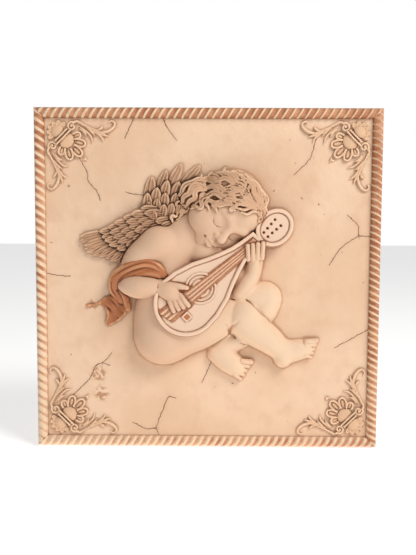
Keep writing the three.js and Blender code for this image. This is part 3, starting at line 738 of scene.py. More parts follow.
faces, loop = sheet(len(columns), len(rows))
front = np.stack([x, -FIELD - level, z], 1)
skirt = front[loop]
skirt[:, 1] = -(RIM - 2.0)
low = len(front) + np.arange(len(loop))
walls = np.stack([loop, np.roll(loop, -1), np.roll(low, -1), low], 1)[:, ::-1]
everything = np.vstack([front, skirt])
faces = faces.tolist() + walls.tolist() + [low[::-1].tolist()]
field_mesh = plain_mesh("field", everything * MM, faces)
x, z = everything[:, 0], everything[:, 2]
side, near = crack_values(x, z)
stain = sum(np.exp(-((x - sx) ** 2 + (z - sz) ** 2) / size ** 2) for sx, sz, size in STAINS)
place_mesh("slab", slab_mesh(), field_paint)
place_mesh("field", field_mesh, field_paint, {"crack_side": side, "crack_near": near, "stain": stain})

# %% [markdown]
# ## Rope border
# The border is a half-round bar whose surface is cut into slanting ridges, and the four
# bars meet in mitres. Nothing but the pitch changes from side to side, so a node tree makes
# a bar: it bends a flat grid into a half round, closes it underneath, draws it in at both
# ends for the mitre and raises the ridges by a wave that runs along and across.

# %% The tree for one side
ROPE_ROWS = 15
rope = Growth("rope_side", {
    "Length": "Float", "Width": "Float", "Rise": "Float", "Foot": "Float", "Sink": "Float",
    "Pitch": "Float", "Slant": "Float", "Groove": "Float", "Columns": "Int", "Paint": "Material"})
length, width, rise = rope.given("Length"), rope.given("Width"), rope.given("Rise")
columns_given = rope.given("Columns")
grid = rope.node("GeometryNodeMeshGrid", {}, {"Size X": 1.0, "Size Y": 1.0, "Vertices X": columns_given,
                                              "Vertices Y": ROPE_ROWS}, "Mesh")
parts = rope.node("ShaderNodeSeparateXYZ", {}, {0: rope.node("GeometryNodeInputPosition", {}, {})})
raw = parts * 2.0
run = raw * ((columns_given - 1.0) / (columns_given - 3.0))
run = run.maths("MINIMUM", run.maths("MAXIMUM", run, -1.0), 1.0)
cap = raw.maths("GREATER_THAN", abs(raw) * (columns_given - 1.0), columns_given - 2.0)
row = (Wire(rope, parts.socket.node.outputs["Y"]) + 0.5) * (ROPE_ROWS - 1.0)
share = row.maths("MINIMUM", row / (ROPE_ROWS - 2.0), 1.0)
last = row.maths("GREATER_THAN", row, ROPE_ROWS - 1.5)
foot = last.maths("MAXIMUM", share.maths("LESS_THAN", share, 0.001),
                  share.maths("GREATER_THAN", share, 0.999))
turn = share * math.pi
belly = turn.sin()
inward = (1.0 - turn.cos()) * 0.5 * (1.0 - last)
inward = (inward * (1.0 - cap) + cap * 0.5) * width
along = run * (length * 0.5 - inward)
phase = along / rope.given("Pitch") + rope.given("Slant") * (share - 0.5) + (turn * 2.0).sin() * 0.07
ridge = abs((phase * math.pi).cos()).power(4.0)
cut = rope.given("Groove") * (1.0 - ridge) * belly
depth = rope.given("Foot") + belly * (rise - cut)
low = foot.maths("MAXIMUM", foot, cap)
depth = depth * (1.0 - low) + (rope.given("Foot") - rope.given("Sink")) * low
moved = rope.node("ShaderNodeCombineXYZ", {}, {"X": along, "Y": depth * -1.0, "Z": inward})
named = grid
for name, value in (("ridge", ridge), ("inner", share)):
    named = rope.node("GeometryNodeStoreNamedAttribute", {"data_type": "FLOAT", "domain": "POINT"},
                      {"Geometry": named, "Name": name, "Value": value})
bent = rope.node("GeometryNodeSetPosition", {}, {"Geometry": named, "Position": moved})
rope.finish(rope.node("GeometryNodeMergeByDistance", {}, {"Geometry": bent, "Distance": 0.000004}))


# %% Four sides, each turned into its place
def outward(mesh):
    """Turns a closed mesh right side out."""
    mesh.calc_loop_triangles()
    corners = np.empty(len(mesh.loop_triangles) * 3, np.int32)
    mesh.loop_triangles.foreach_get("vertices", corners)
    points = mesh_points(mesh)
    a, b, c = (points[corners.reshape(-1, 3)[:, k]] for k in range(3))
    if np.einsum("ij,ij->i", a, np.cross(b, c)).sum() < 0:
        mesh.flip_normals()
    return mesh


def turned_mesh(mesh, angle, offset):
    """Turns a mesh about the axis that points into the wall, after a shift along z."""
    points = mesh_points(mesh)
    c, s = math.cos(angle), math.sin(angle)
    x, z = points[:, 0], points[:, 2] - offset
    placed = np.stack([x * c + z * s, points[:, 1], z * c - x * s], 1)
    mesh.vertices.foreach_set("co", (placed * MM).astype(np.float32).ravel())
    return outward(mesh)


for side_name, side_length, reach, angle, pitch in (
    ("top", WIDTH, HEIGHT / 2, math.pi, 5.55), ("bottom", WIDTH, HEIGHT / 2, 0.0, 5.55),
    ("left", HEIGHT, WIDTH / 2, math.pi / 2, 6.05), ("right", HEIGHT, WIDTH / 2, -math.pi / 2, 4.85),
):
    seed_mesh = point_mesh("rope_seed", [(0, 0, 0)], {})
    made = rope.grow("rope_" + side_name, seed_mesh, {
        "Length": (side_length - 0.3) * MM, "Width": (ROPE_WIDTH - 0.1) * MM, "Rise": 8.0 * MM,
        "Foot": RIM * MM, "Sink": 1.5 * MM, "Pitch": pitch * MM, "Slant": -1.0, "Groove": 1.9 * MM,
        "Columns": int(side_length / pitch * 9), "Paint": rope_paint})
    place_mesh("rope_" + side_name, turned_mesh(made, angle, reach - 0.15), rope_paint)

# %% [markdown]
# ## Corner ornaments
# One drawing serves all four corners. It starts in the corner inside the rope and is its own
# mirror image about the diagonal: two half domes on both sides of a double bar, loops and
# petals round the domes, a scroll at each end of the bar, and a leafy branch that runs off
# from each scroll.

# %% Clay for one corner, counted from the corner inwards
corner = Clay((-1, -1.0, -1), (54, 4.4, 54), 0.4)
DIAGONAL = math.pi / 4


def both_ways(stations):
    """The stations and their mirror image about the diagonal."""
    return [stations, [(z, x, *rest) for x, z, *rest in stations]]


def petal(centre, aim, length, half, rise=1.15, girth=0.76):
    """A petal: a raised U that points along aim, with a long drop inside it."""
    c, k = math.cos(aim), math.sin(aim)
    bend = [(-0.9, 0.84), (-0.2, 1.0), (0.45, 0.9), (0.86, 0.55), (1.0, 0.0)]
    bend += [(u, -v) for u, v in bend[-2::-1]]
    rim = [(centre[0] + u * length * c - v * half * k,
            centre[1] + u * length * k + v * half * c, girth, rise) for u, v in bend]
    corner.egg((*centre, 0.1), (length * 0.95, half * 0.9, 0.9), aim, blend=0.2)
    corner.limb(rim, blend=0.25, bends=3)
    drop = [(centre[0] + u * length * c, centre[1] + u * length * k, w, rise * 0.75)
            for u, w in ((-0.8, 0.35), (0.3, girth * 1.1))]
    corner.limb(drop, blend=0.2)


def scroll(centre, outer, start, turns, girth, rise):
    """A spiral that winds in from outer to its eye."""
    steps = np.linspace(0, 1, 22)
    spiral = [(centre[0] + outer * (1 - 0.72 * t) * math.cos(start - turns * t * math.pi * 2),
               centre[1] + outer * (1 - 0.72 * t) * math.sin(start - turns * t * math.pi * 2),
               girth * (1 - 0.35 * t), rise + 0.5 * t) for t in steps]
    return spiral + [(*centre, girth * 0.9, rise + 0.7)]


# %% Domes, bars, petals and loops
corner.egg((15.2, 15.2, 0), (6.4, 6.4, 2.3), 0, blend=0.3)
corner.egg((9.4, 9.4, 0), (4.9, 4.9, 2.6), 0, blend=0.3)
for near in (11.8, 13.5):
    bar = [(near * 1.38, near * 0.66, 0.62, 2.4), (near + 0.4, near + 0.4, 0.66, 2.9),
           (near * 0.66, near * 1.38, 0.62, 2.4)]
    corner.limb(bar, blend=0.2, bends=5)
for far, angle, length, half in ((12.2, 0, 4.2, 2.7), (11.0, 31, 3.8, 2.6), (9.0, 63, 2.5, 2.2)):
    for sign in ((1, -1) if angle else (1,)):
        aim = DIAGONAL + math.radians(angle * sign)
        petal((15.0 + far * math.cos(aim), 15.0 + far * math.sin(aim)), aim, length, half)
for angle in (16, 46, 76):
    for sign in (1, -1):
        aim = DIAGONAL + math.pi + math.radians(angle * sign)
        petal((9.9 + 6.2 * math.cos(aim), 9.9 + 6.2 * math.sin(aim)), aim, 1.9, 1.35, 0.9, 0.42)
corner.limb([(27.6, 29.4, 0.5, 0.5), (29.2, 29.2, 0.85, 0.7), (29.4, 27.8, 0.6, 0.5),
             (30.4, 30.6, 0.5, 0.4)], blend=0.2)

# %% Scrolls, stems and leaves
WAY_IN = [(27.5, 3.6, 0.5, 0.6), (23.8, 1.9, 0.6, 0.9)]
SCROLL = WAY_IN + scroll((19.8, 5.8), 3.2, math.radians(-60), 1.3, 0.9, 1.3)
STEM = [(21.6, 1.6, 0.5, 0.5), (28, 4.4, 0.7, 0.6), (34.8, 7.6, 0.8, 0.6), (40.4, 9.9, 0.9, 0.7),
        (45.8, 9.2, 1.15, 0.8),
        (50, 6.2, 1.0, 0.8), (50.8, 3.4, 0.8, 0.7), (48.6, 1.6, 0.65, 0.6), (46.8, 2.6, 0.6, 0.6)]
LEAVES = [
    [(25, 5.6), (30.6, 9.6), (33.8, 13.4), (34.6, 17.6)], [(25.4, 7.4), (28.8, 9.6), (30.2, 13)],
    [(35, 9), (39.6, 11.8), (41.8, 14), (42.6, 16.4)], [(38.6, 10.2), (42.6, 11.6), (46.6, 12.8)],
    [(38, 8.2), (40.6, 7.4), (42.6, 5.2)], [(30, 6.2), (34, 9.4), (36.6, 12.6)],
]
for path in both_ways(SCROLL) + both_ways(STEM):
    corner.limb(path, blend=0.2, bends=3)
for leaf in LEAVES:
    girths = np.interp(np.linspace(0, 1, len(leaf)), [0, 0.5, 1], [0.45, 1.0, 0.25])
    for path in both_ways([(*point, girth, 0.55) for point, girth in zip(leaf, girths)]):
        corner.limb(path, blend=0.2, bends=4, lift=1.2)

# %% The same clay in all four corners
corner_points, corner_quads = skin(corner)
for sign_x, sign_z, corner_name in ((-1, 1, "top_left"), (1, 1, "top_right"),
                                    (-1, -1, "low_left"), (1, -1, "low_right")):
    spread = corner_points.copy()
    spread[:, 0] = sign_x * (WIDTH / 2 - ROPE_WIDTH - spread[:, 0])
    spread[:, 2] = sign_z * (HEIGHT / 2 - ROPE_WIDTH - spread[:, 2])
    quads = corner_quads if sign_x * sign_z < 0 else corner_quads[:, ::-1]
    add_mesh("ornament_" + corner_name, on_plaque(spread), quads, corner_paint)

# %% [markdown]
# ## The child's body
# The limbs are tapered bars and the fat pads are eggs. A baby has no hard muscle lines:
# the form is in how round each part is and where two soft parts press a crease.

# %% Torso, legs and feet
body = Clay((-72, -2.5, -80), (86, TOP + 1.2, 58), 0.8)
body.limb([(-8, 44, 11, 0), (-22, 26, 15, 0), (-29, 6, 17.6, -1), (-30.6, -9, 20, -1),
           (-31.8, -26, 22.2, -1),
           (-32, -38.6, 21.8, -1)], lift=0.8, bends=14)
body.egg((-36, 25, 6), (13, 12.5, 12), 0.6, blend=5)
body.limb([(-30.5, -39.8, 20.6, 0), (-8, -32.8, 19.2, 0), (12, -26, 16.6, 0), (25, -23, 12.5, 0)], blend=6,
          lift=0.84, bends=14)
body.egg((-32, -43.4, 2), (19, 17, 14), 0.3, blend=6)
body.egg((-1, 21, 3), (13, 11, 9.5), 0.0, blend=4)
body.egg((17, 6, 1), (13, 12, 8), 0.6, blend=4)

# %% The far leg lies lower, and the near calf crosses it
body.limb([(19, -16, 11, -2), (34, -12.8, 11.8, -2), (43.4, -12.6, 11.4, -2), (41.4, -21.5, 10.8, -2)],
          blend=1.0)
body.limb([(41, -20, 10.4, -2), (37, -30, 9.4, -2), (26, -42, 8.2, -1.5), (12, -49, 7.6, -1)], blend=2)
body.limb([(7, -54.6, 7.0, 0), (13.6, -58.6, 8.8, -1), (19.2, -62.4, 8.6, -1), (22.2, -65, 7.4, -1)],
          blend=2.5, lift=0.95)
near_leg = Clay((9.6, -2.5, -80), (86, TOP + 1.2, -5), 0.8)
near_leg.limb([(24.5, -28.4, 13.2, 0), (35.5, -36.8, 12.0, 0), (46, -44.2, 10.3, 0), (54.2, -51.4, 8.0, 0)],
              lift=1.15, bends=10)
near_leg.egg((27, -24.5, 6), (11.6, 11.2, 9.4), -0.7, blend=4)
near_leg.limb([(55.8, -58.4, 5.8, 0), (59, -53.6, 8.6, -1), (66, -51.7, 8.3, -1), (72.2, -50.4, 7.2, -1)],
              blend=4, lift=0.92)
near_leg.egg((55.8, -58.8, 1), (5.3, 5.7, 6.4), 0.8, blend=2.5)
last_cell = np.array(near_leg.field.shape) - 1
cut, _ = body.window(near_leg.low, near_leg.low + near_leg.step * last_cell)
over = [near_leg.axes[k].searchsorted(body.axes[k][cut[k]] - 0.01).clip(0, last_cell[k]) for k in range(3)]
body.put(cut, near_leg.field[np.ix_(*over)], 0.5)


def digits(clay, first, last, count, root_level, tip_level, big=1.0, lift=1.0, blend=0.5, droop=0.0):
    """Toes or fingers from the first to the last, each from root to tip."""
    for i in range(count):
        ax, az, bx, bz, radius = [a + (b - a) * i / (count - 1) for a, b in zip(first, last)]
        girth = radius * (big if i == 0 else 1)
        middle = ((ax + bx) / 2, (az + bz) / 2, girth * 0.94, (root_level + tip_level) / 2 + droop)
        clay.limb([(ax, az, girth, root_level), middle, (bx, bz, girth * 0.95, tip_level)],
                  blend=blend, lift=lift, bends=3)


# %% Arms and hands
body.limb([(-36, 27, 12.3, 4), (-49, 15.4, 11.6, 4), (-57, 3.6, 8.4, 3)], blend=4, lift=1.1)
body.limb([(-60.6, -3.8, 4.3, 9.0), (-55.6, -3.6, 7.2, 10), (-49, -4, 8.8, 11), (-41, -4, 7.6, 12),
           (-36, -4.4, 6.1, 12.6)], blend=1.5, lift=1.3)
body.limb([(-34.2, -4.6, 6, 13), (-28, -7.0, 6.9, 14.2), (-23.6, -10.6, 5.6, 15)], blend=1.0, lift=1.22)
body.limb([(-27, -2.6, 2.6, 17.2), (-20, -3.2, 2.2, 18.2), (-14.6, -4.2, 1.6, 18.6)], blend=1.5)
body.limb([(34.6, 19, 6.2, 4), (33.8, 11.5, 6.3, 2), (32, 4, 6.8, 0), (28, -3, 7.6, 0), (23, -10, 7, 0)],
          blend=1.5, lift=1.7)


# %% Creases where soft parts press together
def crease(clay, stations, blend=1.0):
    """A groove along the surface: its stations give x, z, half width and depth of its bottom."""
    path = smooth_path(stations, 4)
    column = [((path[:, k] - clay.low[axis]) / clay.step).round().astype(int) for k,
              axis in ((0, 0), (1, 2))]
    solid = clay.field[column[0], :, column[1]] < 0
    top = np.convolve(np.pad(clay.top(solid), 2, mode="edge"), np.ones(5) / 5, mode="valid")
    level = top + path[:, 2] - path[:, 3]
    clay.limb(np.column_stack([path[:, :3], level]), blend=blend, bends=1, carve=True)


crease(body, [(0, -50, 0.5, 0.6), (4.2, -47.7, 0.7, 1.2), (10.2, -43.1, 0.8, 1.8), (14.3, -40, 0.9, 2.2),
              (16.2, -38, 0.9, 2.4),
              (20.3, -41.8, 0.7, 1.8), (24.5, -45.2, 0.6, 1.2), (29.4, -48, 0.5, 0.6)], 1.2)
crease(body, [(16.1, -38, 0.8, 2.0), (14.9, -34.6, 0.7, 1.2), (13.6, -31.4, 0.4, 0.2)], 1.2)
crease(body, [(16.3, -37, 0.8, 2.0), (17.5, -33.4, 0.8, 1.6), (19.6, -31, 0.6, 0.9), (22, -28.8, 0.4, 0.1)],
       1.4)
crease(body, [(15.9, -13.2, 0.7, 1.6), (21, -13.4, 0.8, 2.2), (26.6, -13.3, 0.8, 2.2),
              (29.6, -14.8, 0.8, 1.8), (33, -17.8, 0.8, 1.4),
              (37.6, -21.8, 0.7, 1.2), (42.6, -26.6, 0.6, 1.0), (46.6, -30.4, 0.5, 0.5)], 1.0)
crease(body, [(-36, -11, 0.6, 0.8), (-35.6, -6, 0.5, 0.9), (-35, -.6, 0.5, 0.6)], 0.9)
cast("child_body", body, skin_paint)


# %% Toes and fingers are small, so their clay has a finer grid
def gaps(clay, count, first, sweep):
    """Grooves between digits: the stations at the first digit, and how far x and z move from
    there to the last."""
    for number in range(count):
        share = (number + 0.5) / count
        crease(clay, [(x + dx * share, z + dz * share, half, depth)
                      for (x, z, half, depth), (dx, dz) in zip(first, sweep)], 0.2)


toes = Clay((17, -1.5, -79), (85, 9, -41), 0.4)
toes.limb([(66, -51.7, 8.1, -1), (72.2, -50.4, 7.0, -1)], lift=0.92)
toes.limb([(18, -61.6, 8.4, -1), (22.2, -65, 7.2, -1)], blend=1, lift=0.95)
digits(toes, (72.8, -44.9, 80.2, -44.2, 1.7), (72, -55.2, 76.4, -56.5, 1.3), 5, 3.4, 2.4, 1.2, 1.35, 0.1)
digits(toes, (25.4, -59.6, 32.2, -60.4, 1.7), (20.2, -69.8, 24.8, -73.2, 1.35), 5, 3.4, 2.4, 1.2, 1.35, 0.1)
gaps(toes, 4, [(73.4, -44.9, 0.25, 0.3), (76.6, -44.6, 0.35, 1.3), (81.4, -44.2, 0.4, 1.8)],
     [(-1, -10.4), (-2, -11), (-4, -12.3)])
gaps(toes, 4, [(25.8, -59.7, 0.25, 0.3), (29, -60, 0.35, 1.3), (33.4, -60.5, 0.4, 1.8)],
     [(-5.2, -10.2), (-6.4, -11.4), (-7.6, -12.9)])
cast("child_toes", toes, skin_paint)
low_hand = Clay((-34, 11, -25), (-9, TOP + 1.2, 2), 0.36)
low_hand.limb([(-30.6, -6.0, 6.0, 13.8), (-28, -7.0, 6.7, 14.2), (-23.6, -10.6, 5.4, 15)], lift=1.22)
low_hand.limb([(-27, -2.6, 2.6, 17.2), (-20, -3.2, 2.1, 18.4), (-14.4, -4.2, 1.5, 18.8)], blend=1.5)
digits(low_hand, (-27.2, -13.0, -23.8, -20.8, 1.7), (-19.2, -9.4, -13.4, -16.6, 1.8), 4, 18.4, 19.6,
       lift=1.1, blend=0.25, droop=1.3)
gaps(low_hand, 3, [(-26.6, -14, 0.3, 0.4), (-23.8, -21, 0.4, 1.4)], [(7, 3.4), (10.4, 4.2)])
cast("child_low_hand", low_hand, skin_paint)
high_hand = Clay((26, 3, 12), (43, 19, 31), 0.36)
high_hand.limb([(34.4, 21, 5.9, 4), (33.8, 13.5, 6.0, 3)], lift=1.7)
digits(high_hand, (29.2, 16, 28.6, 25.6, 1.7), (39, 17, 39.6, 27.4, 1.75), 4, 12.4, 13.6, lift=1.2,
       blend=0.25, droop=0.9)
gaps(high_hand, 3, [(29.2, 16.6, 0.3, 0.4), (28.6, 26.4, 0.4, 1.6)], [(9.8, 1), (11, 1.8)])
cast("child_high_hand", high_hand, skin_paint)

# %% [markdown]
# ## Head
# The head is built upright and facing the reader first, on an infant's proportions: a big
# round skull, the eyes below the middle, full cheeks, a short nose and a small mouth. Then
# it is turned to one side, bowed and leaned over, and pressed flat by over a quarter,
# because a relief keeps a head's outline but not its full depth.

# %% Where the head sits and how it leans
HEAD_PLACE = (11.7, 49.6, 1.2)       # middle of the head at eye level: x, z, level
HEAD_TURN, HEAD_BOW, HEAD_LEAN = math.radians(33), math.radians(12), math.radians(54)
HEAD_PRESS = 0.72                    # depth kept by the relief


def head_axes():
    """Directions of the head's side, up and forward, as columns of x, z, depth."""
    def turn(first, second, angle):
        matrix = np.eye(3)
        c, s = math.cos(angle), math.sin(angle)
        matrix[first, first], matrix[second, second] = c, c
        matrix[first, second], matrix[second, first] = s, -s
        return matrix
    yaw = turn(0, 2, HEAD_TURN)
    bow = turn(2, 1, HEAD_BOW)
    lean = turn(0, 1, HEAD_LEAN)
    return lean @ bow @ yaw


HEAD_AXES = head_axes()


def head_point(side, high, front):
    """A point of the upright head brought to x, z, level on the plaque."""
    x, z, depth = HEAD_AXES @ np.array([side, high, front])
    return HEAD_PLACE[0] + x, HEAD_PLACE[1] + z, HEAD_PLACE[2] + depth * HEAD_PRESS


class HeadClay(Clay):
    """Clay whose forms are given on the upright head and pressed into the relief."""

    def local(self, grid):
        x, level, z = grid
        there = (x - HEAD_PLACE[0], z - HEAD_PLACE[1], (level - HEAD_PLACE[2]) / HEAD_PRESS)
        return [sum(HEAD_AXES[row, axis] * there[row] for row in range(3)) for axis in range(3)]

    def reach(self, points, radius):
        places = np.array([head_point(*point) for point in points])[:, [0, 2, 1]]
        return self.window(places.min(0) - radius, places.max(0) + radius)

    def ball(self, centre, half, blend=0.0, carve=False, both=False):
        """An egg on the upright head: centre and half lengths aside, up and forward."""
        for side in ((1, -1) if both else (1,)):
            middle = (centre[0] * side, centre[1], centre[2])
            cut, grid = self.reach([middle], max(half) + blend + 2)
            offsets = [value - at for value, at in zip(self.local(grid), middle)]
            self.put(cut, egg_distance(offsets, half).astype(np.float32), blend, carve)

    def cord(self, stations, blend=0.0, carve=False, both=False):
        """A thin bar through stations of side, up, forward, radius on the upright head."""
        for side in ((1, -1) if both else (1,)):
            path = smooth_path(stations, 5) * np.array([side, 1, 1, 1])
            cut, grid = self.reach(path[:, :3], path[:, 3].max() + blend + 2)
            u, v, w = self.local(grid)
            work = np.full(np.broadcast(u, v, w).shape, FAR, np.float32)
            for a, b in zip(path, path[1:]):
                line = bar_distance((u, v, w), (a[0], a[1], a[2]), (b[0], b[1], b[2]), a[3], b[3], 1.0)
                work = np.minimum(work, line)
            self.put(cut, work, blend, carve)


# %% Skull, cheeks, jaw and neck
head = HeadClay((-26, -1.5, 14), (47, TOP + 1.0, 82), 0.42)
head.ball((0, 11, -5), (21.8, 21.2, 25.5))
head.ball((0, -3, 3), (20.5, 22, 19.5), 8)
head.ball((12, -10.5, 9), (11.5, 11.5, 12), 7, both=True)
head.ball((0, 14, 8), (18.5, 14.5, 16), 8)
head.ball((0, -22.5, 14.5), (6.8, 5.2, 6.2), 5)
head.ball((0, -15, 15.5), (9.5, 7, 8.5), 5)

# %% Brow, eyes and nose
head.ball((-9.4, -0.6, 25.6), (6.6, 4.0, 4.4), 5, carve=True)
head.ball((9.0, -0.6, 27.2), (6.2, 3.8, 4.4), 6, carve=True)
head.cord([(3.6, 3.2, 22.6, 1.6), (8, 5.4, 22.6, 1.9), (13, 5.2, 19.6, 1.8), (17, 2.2, 15, 1.2)], 4,
          both=True)
head.ball((-9.4, -1.6, 17.0), (6.4, 4.2, 4.6), 3.2)
head.cord([(0, 2.0, 21.6, 2.4), (0, -2.8, 23.8, 2.3), (0, -7.6, 26.4, 2.9)], 3.5)
head.ball((0, -8.6, 26.4), (3.3, 2.9, 3.2), 1.6)
head.ball((3.3, -9.6, 23.8), (2.2, 2.0, 2.6), 1.2, both=True)
head.ball((1.7, -11.4, 25.3), (0.9, 0.7, 1.1), 0.6, carve=True, both=True)

# %% Mouth and chin
head.cord([(0, -12.4, 24.4, 0.9), (0, -14.2, 24.8, 0.9)], 1.2, carve=True)
head.cord([(0, -15.8, 23.9, 1.15), (2.4, -15.2, 23.9, 1.25), (5.6, -16.6, 21.9, 0.7)], 0.9, both=True)
head.cord([(-4.4, -18.2, 22.2, 0.8), (0, -19.0, 23.4, 1.6), (4.4, -18.2, 22.2, 0.8)], 0.9)
head.cord([(-6.4, -16.9, 21.6, 0.3), (-3, -17.0, 23.9, 0.42), (0, -17.4, 24.6, 0.45),
           (3, -17.0, 23.9, 0.42),
           (6.4, -16.9, 21.6, 0.3)], 0.5, carve=True)
head.ball((6.9, -16.7, 20.6), (0.9, 0.9, 1.3), 1.2, carve=True, both=True)
head.cord([(-3, -20.9, 21.9, 0.4), (0, -21.3, 22.6, 0.7), (3, -20.9, 21.9, 0.4)], 1.5, carve=True)


def head_line(stations, half, depth):
    """A fine groove over the face, through points aside and up on the upright head."""
    ends = np.sin(np.linspace(0.25, math.pi - 0.25, len(stations)))
    places = [head_point(side, high, 21.0) for side, high in stations]
    crease(head, [(x, z, half * (0.5 + e / 2), depth * e) for (x, z, _), e in zip(places, ends)], 0.35)


head_line([(-4.4, -3.2), (-6.4, -5.0), (-9.4, -5.8), (-12.6, -5.0), (-15.2, -2.8)], 0.5, 1.0)
head_line([(4.4, -3.4), (6.4, -4.8), (9, -5.2), (11.4, -4.2)], 0.4, 0.8)
cast("child_head", head, skin_paint)

# %% [markdown]
# ## Hair
# The hair is short and wavy and sweeps forward from the crown. A carver cuts it as S-shaped
# locks and scores each with a line. Here a lock is a bundle of two thin bars, or a single
# one, that swings from side to side while it follows the skull.

# %% The skull under the hair
def cap_level(x, z):
    """Level of the skull at x, z, and of the wider cap of hair on it."""
    best = np.zeros(np.broadcast(x, z).shape)
    for centre, half, press in (((0, 11, -5), (21.8, 21.2, 25.5), HEAD_PRESS),
                                ((0, 14, 8), (18.5, 14.5, 16), HEAD_PRESS),
                                ((0, 13, -5), (26, 25, 28.5), 0.64)):
        cx, cz, level = head_point(*centre)
        inverse = HEAD_AXES @ np.diag([1 / size ** 2 for size in half]) @ HEAD_AXES.T
        dx, dz = x - cx, z - cz
        a = inverse[2, 2]
        b = inverse[0, 2] * dx + inverse[1, 2] * dz
        c = inverse[0, 0] * dx ** 2 + 2 * inverse[0, 1] * dx * dz + inverse[1, 1] * dz ** 2 - 1
        root = b * b - a * c
        depth = (-b + np.sqrt(np.maximum(root, 0))) / a
        best = np.maximum(best, np.where(root > 0, level + depth * press, 0))
    return best


def knot_level(x, z):
    """The bun of hair behind the head, at the left."""
    return np.maximum(3.0, 11.5 - ((x + 8) / 6.5) ** 2 * 1.6 - ((z - 62) / 6.5) ** 2 * 1.6)


solid = head.field < 0
head_top = np.where(solid.any(1), head.top(solid), 0.0)


def face_level(x, z):
    """Top of the head's own clay at x, z."""
    i = np.clip(((x - head.low[0]) / head.step).round().astype(int), 0, head_top.shape[0] - 1)
    k = np.clip(((z - head.low[2]) / head.step).round().astype(int), 0, head_top.shape[1] - 1)
    return head_top[i, k]


COVER_X, COVER_Z, COVER_STEP = -34, 32, 0.5      # low corner and cells of a map of the cap
cover_x, cover_z = np.meshgrid(np.arange(COVER_X, 54, COVER_STEP), np.arange(COVER_Z, 92, COVER_STEP),
                               indexing="ij")
cover = np.maximum(cap_level(cover_x, cover_z), knot_level(cover_x, cover_z))
cover = np.maximum(blurred(cover, 1.5, COVER_STEP), face_level(cover_x, cover_z) - 0.3)
cover = np.minimum(cover, TOP - 1.6)
print("the cap of hair rises to", round(float(cover.max()), 1), "mm")


def hair_level(x, z):
    """Level on which the locks lie, softened where the cap ends."""
    u = np.clip((x - COVER_X) / COVER_STEP, 0, cover.shape[0] - 1.01)
    v = np.clip((z - COVER_Z) / COVER_STEP, 0, cover.shape[1] - 1.01)
    return between_cells(cover, u, v)


# %% The mass of hair under the locks
HAIR_EDGE = [
    (-20, 63), (-13.5, 69), (-5.5, 73.6), (1.5, 76.4), (12, 78), (20.5, 77), (28, 73.6), (34.4, 66.6),
    (39.6, 60.6), (42, 53.4),
    (41.8, 47), (37, 41.5), (34.5, 44.5), (33.2, 48.4), (24, 48.2), (18, 50.6), (10.3, 54.4), (7, 50.5),
    (3.7, 54),
    (1, 51.5), (-1.6, 54.6), (-4.3, 52.6), (-9.6, 53), (-16, 52.4), (-20, 55.5), (-21.5, 59),
]


def edge_distance(x, z, outline):
    """Signed distance to a closed outline, negative inside it."""
    gap = np.full(np.broadcast(x, z).shape, FAR * 9)
    inside = np.zeros(gap.shape, bool)
    for (ax, az), (bx, bz) in zip(outline, outline[1:] + outline[:1]):
        gap = np.minimum(gap, line_distance(x, z, (ax, az), (bx, bz)))
        crosses = ((az > z) != (bz > z)) & (x < ax + (z - az) * (bx - ax) / (bz - az or 1e-9))
        inside ^= crosses
    return np.where(inside, -gap, gap)


hair = Clay((-31, -1.5, 37), (50, TOP + 1.0, 88), 0.4)
x, level, z = np.ix_(*hair.axes)
beside = edge_distance(x[:, 0, :], z[0, 0, :][None, :], HAIR_EDGE)[:, None, :]
MASS_RIM, MASS_HEIGHT = 1.2, 0.8      # rounding of its rim, and how far it stands over the cap
mass = plate(beside + MASS_HEIGHT, level - hair_level(x, z) - MASS_HEIGHT, MASS_RIM)
hair.field[:] = np.minimum(hair.field, mass)


# %% Locks
def lock(stations, strands=2, rise=1.1, wave=0.0, waves=1.0):
    """One lock through stations of x, z, half width; wave swings it from side to side."""
    path = smooth_path(stations, 6)
    steps = np.gradient(path[:, :2], axis=0)
    steps /= np.maximum(np.linalg.norm(steps, axis=1, keepdims=True), 1e-6)
    aside = np.stack([-steps[:, 1], steps[:, 0]], 1)
    along = np.linspace(0, 1, len(path))
    centre = path[:, :2] + aside * (wave * np.sin(along * math.pi * 2 * waves))[:, None]
    for k in range(strands):
        share = (k - (strands - 1) / 2) * 2 / strands
        girth = np.maximum(path[:, 2] / strands * 1.1, 0.42)
        line = centre + aside * (share * path[:, 2])[:, None]
        level = hair_level(line[:, 0], line[:, 1]) + rise - abs(share) * 0.5
        hair.limb(np.column_stack([line, girth, np.minimum(level, TOP - girth)]), blend=0.15, bends=1)


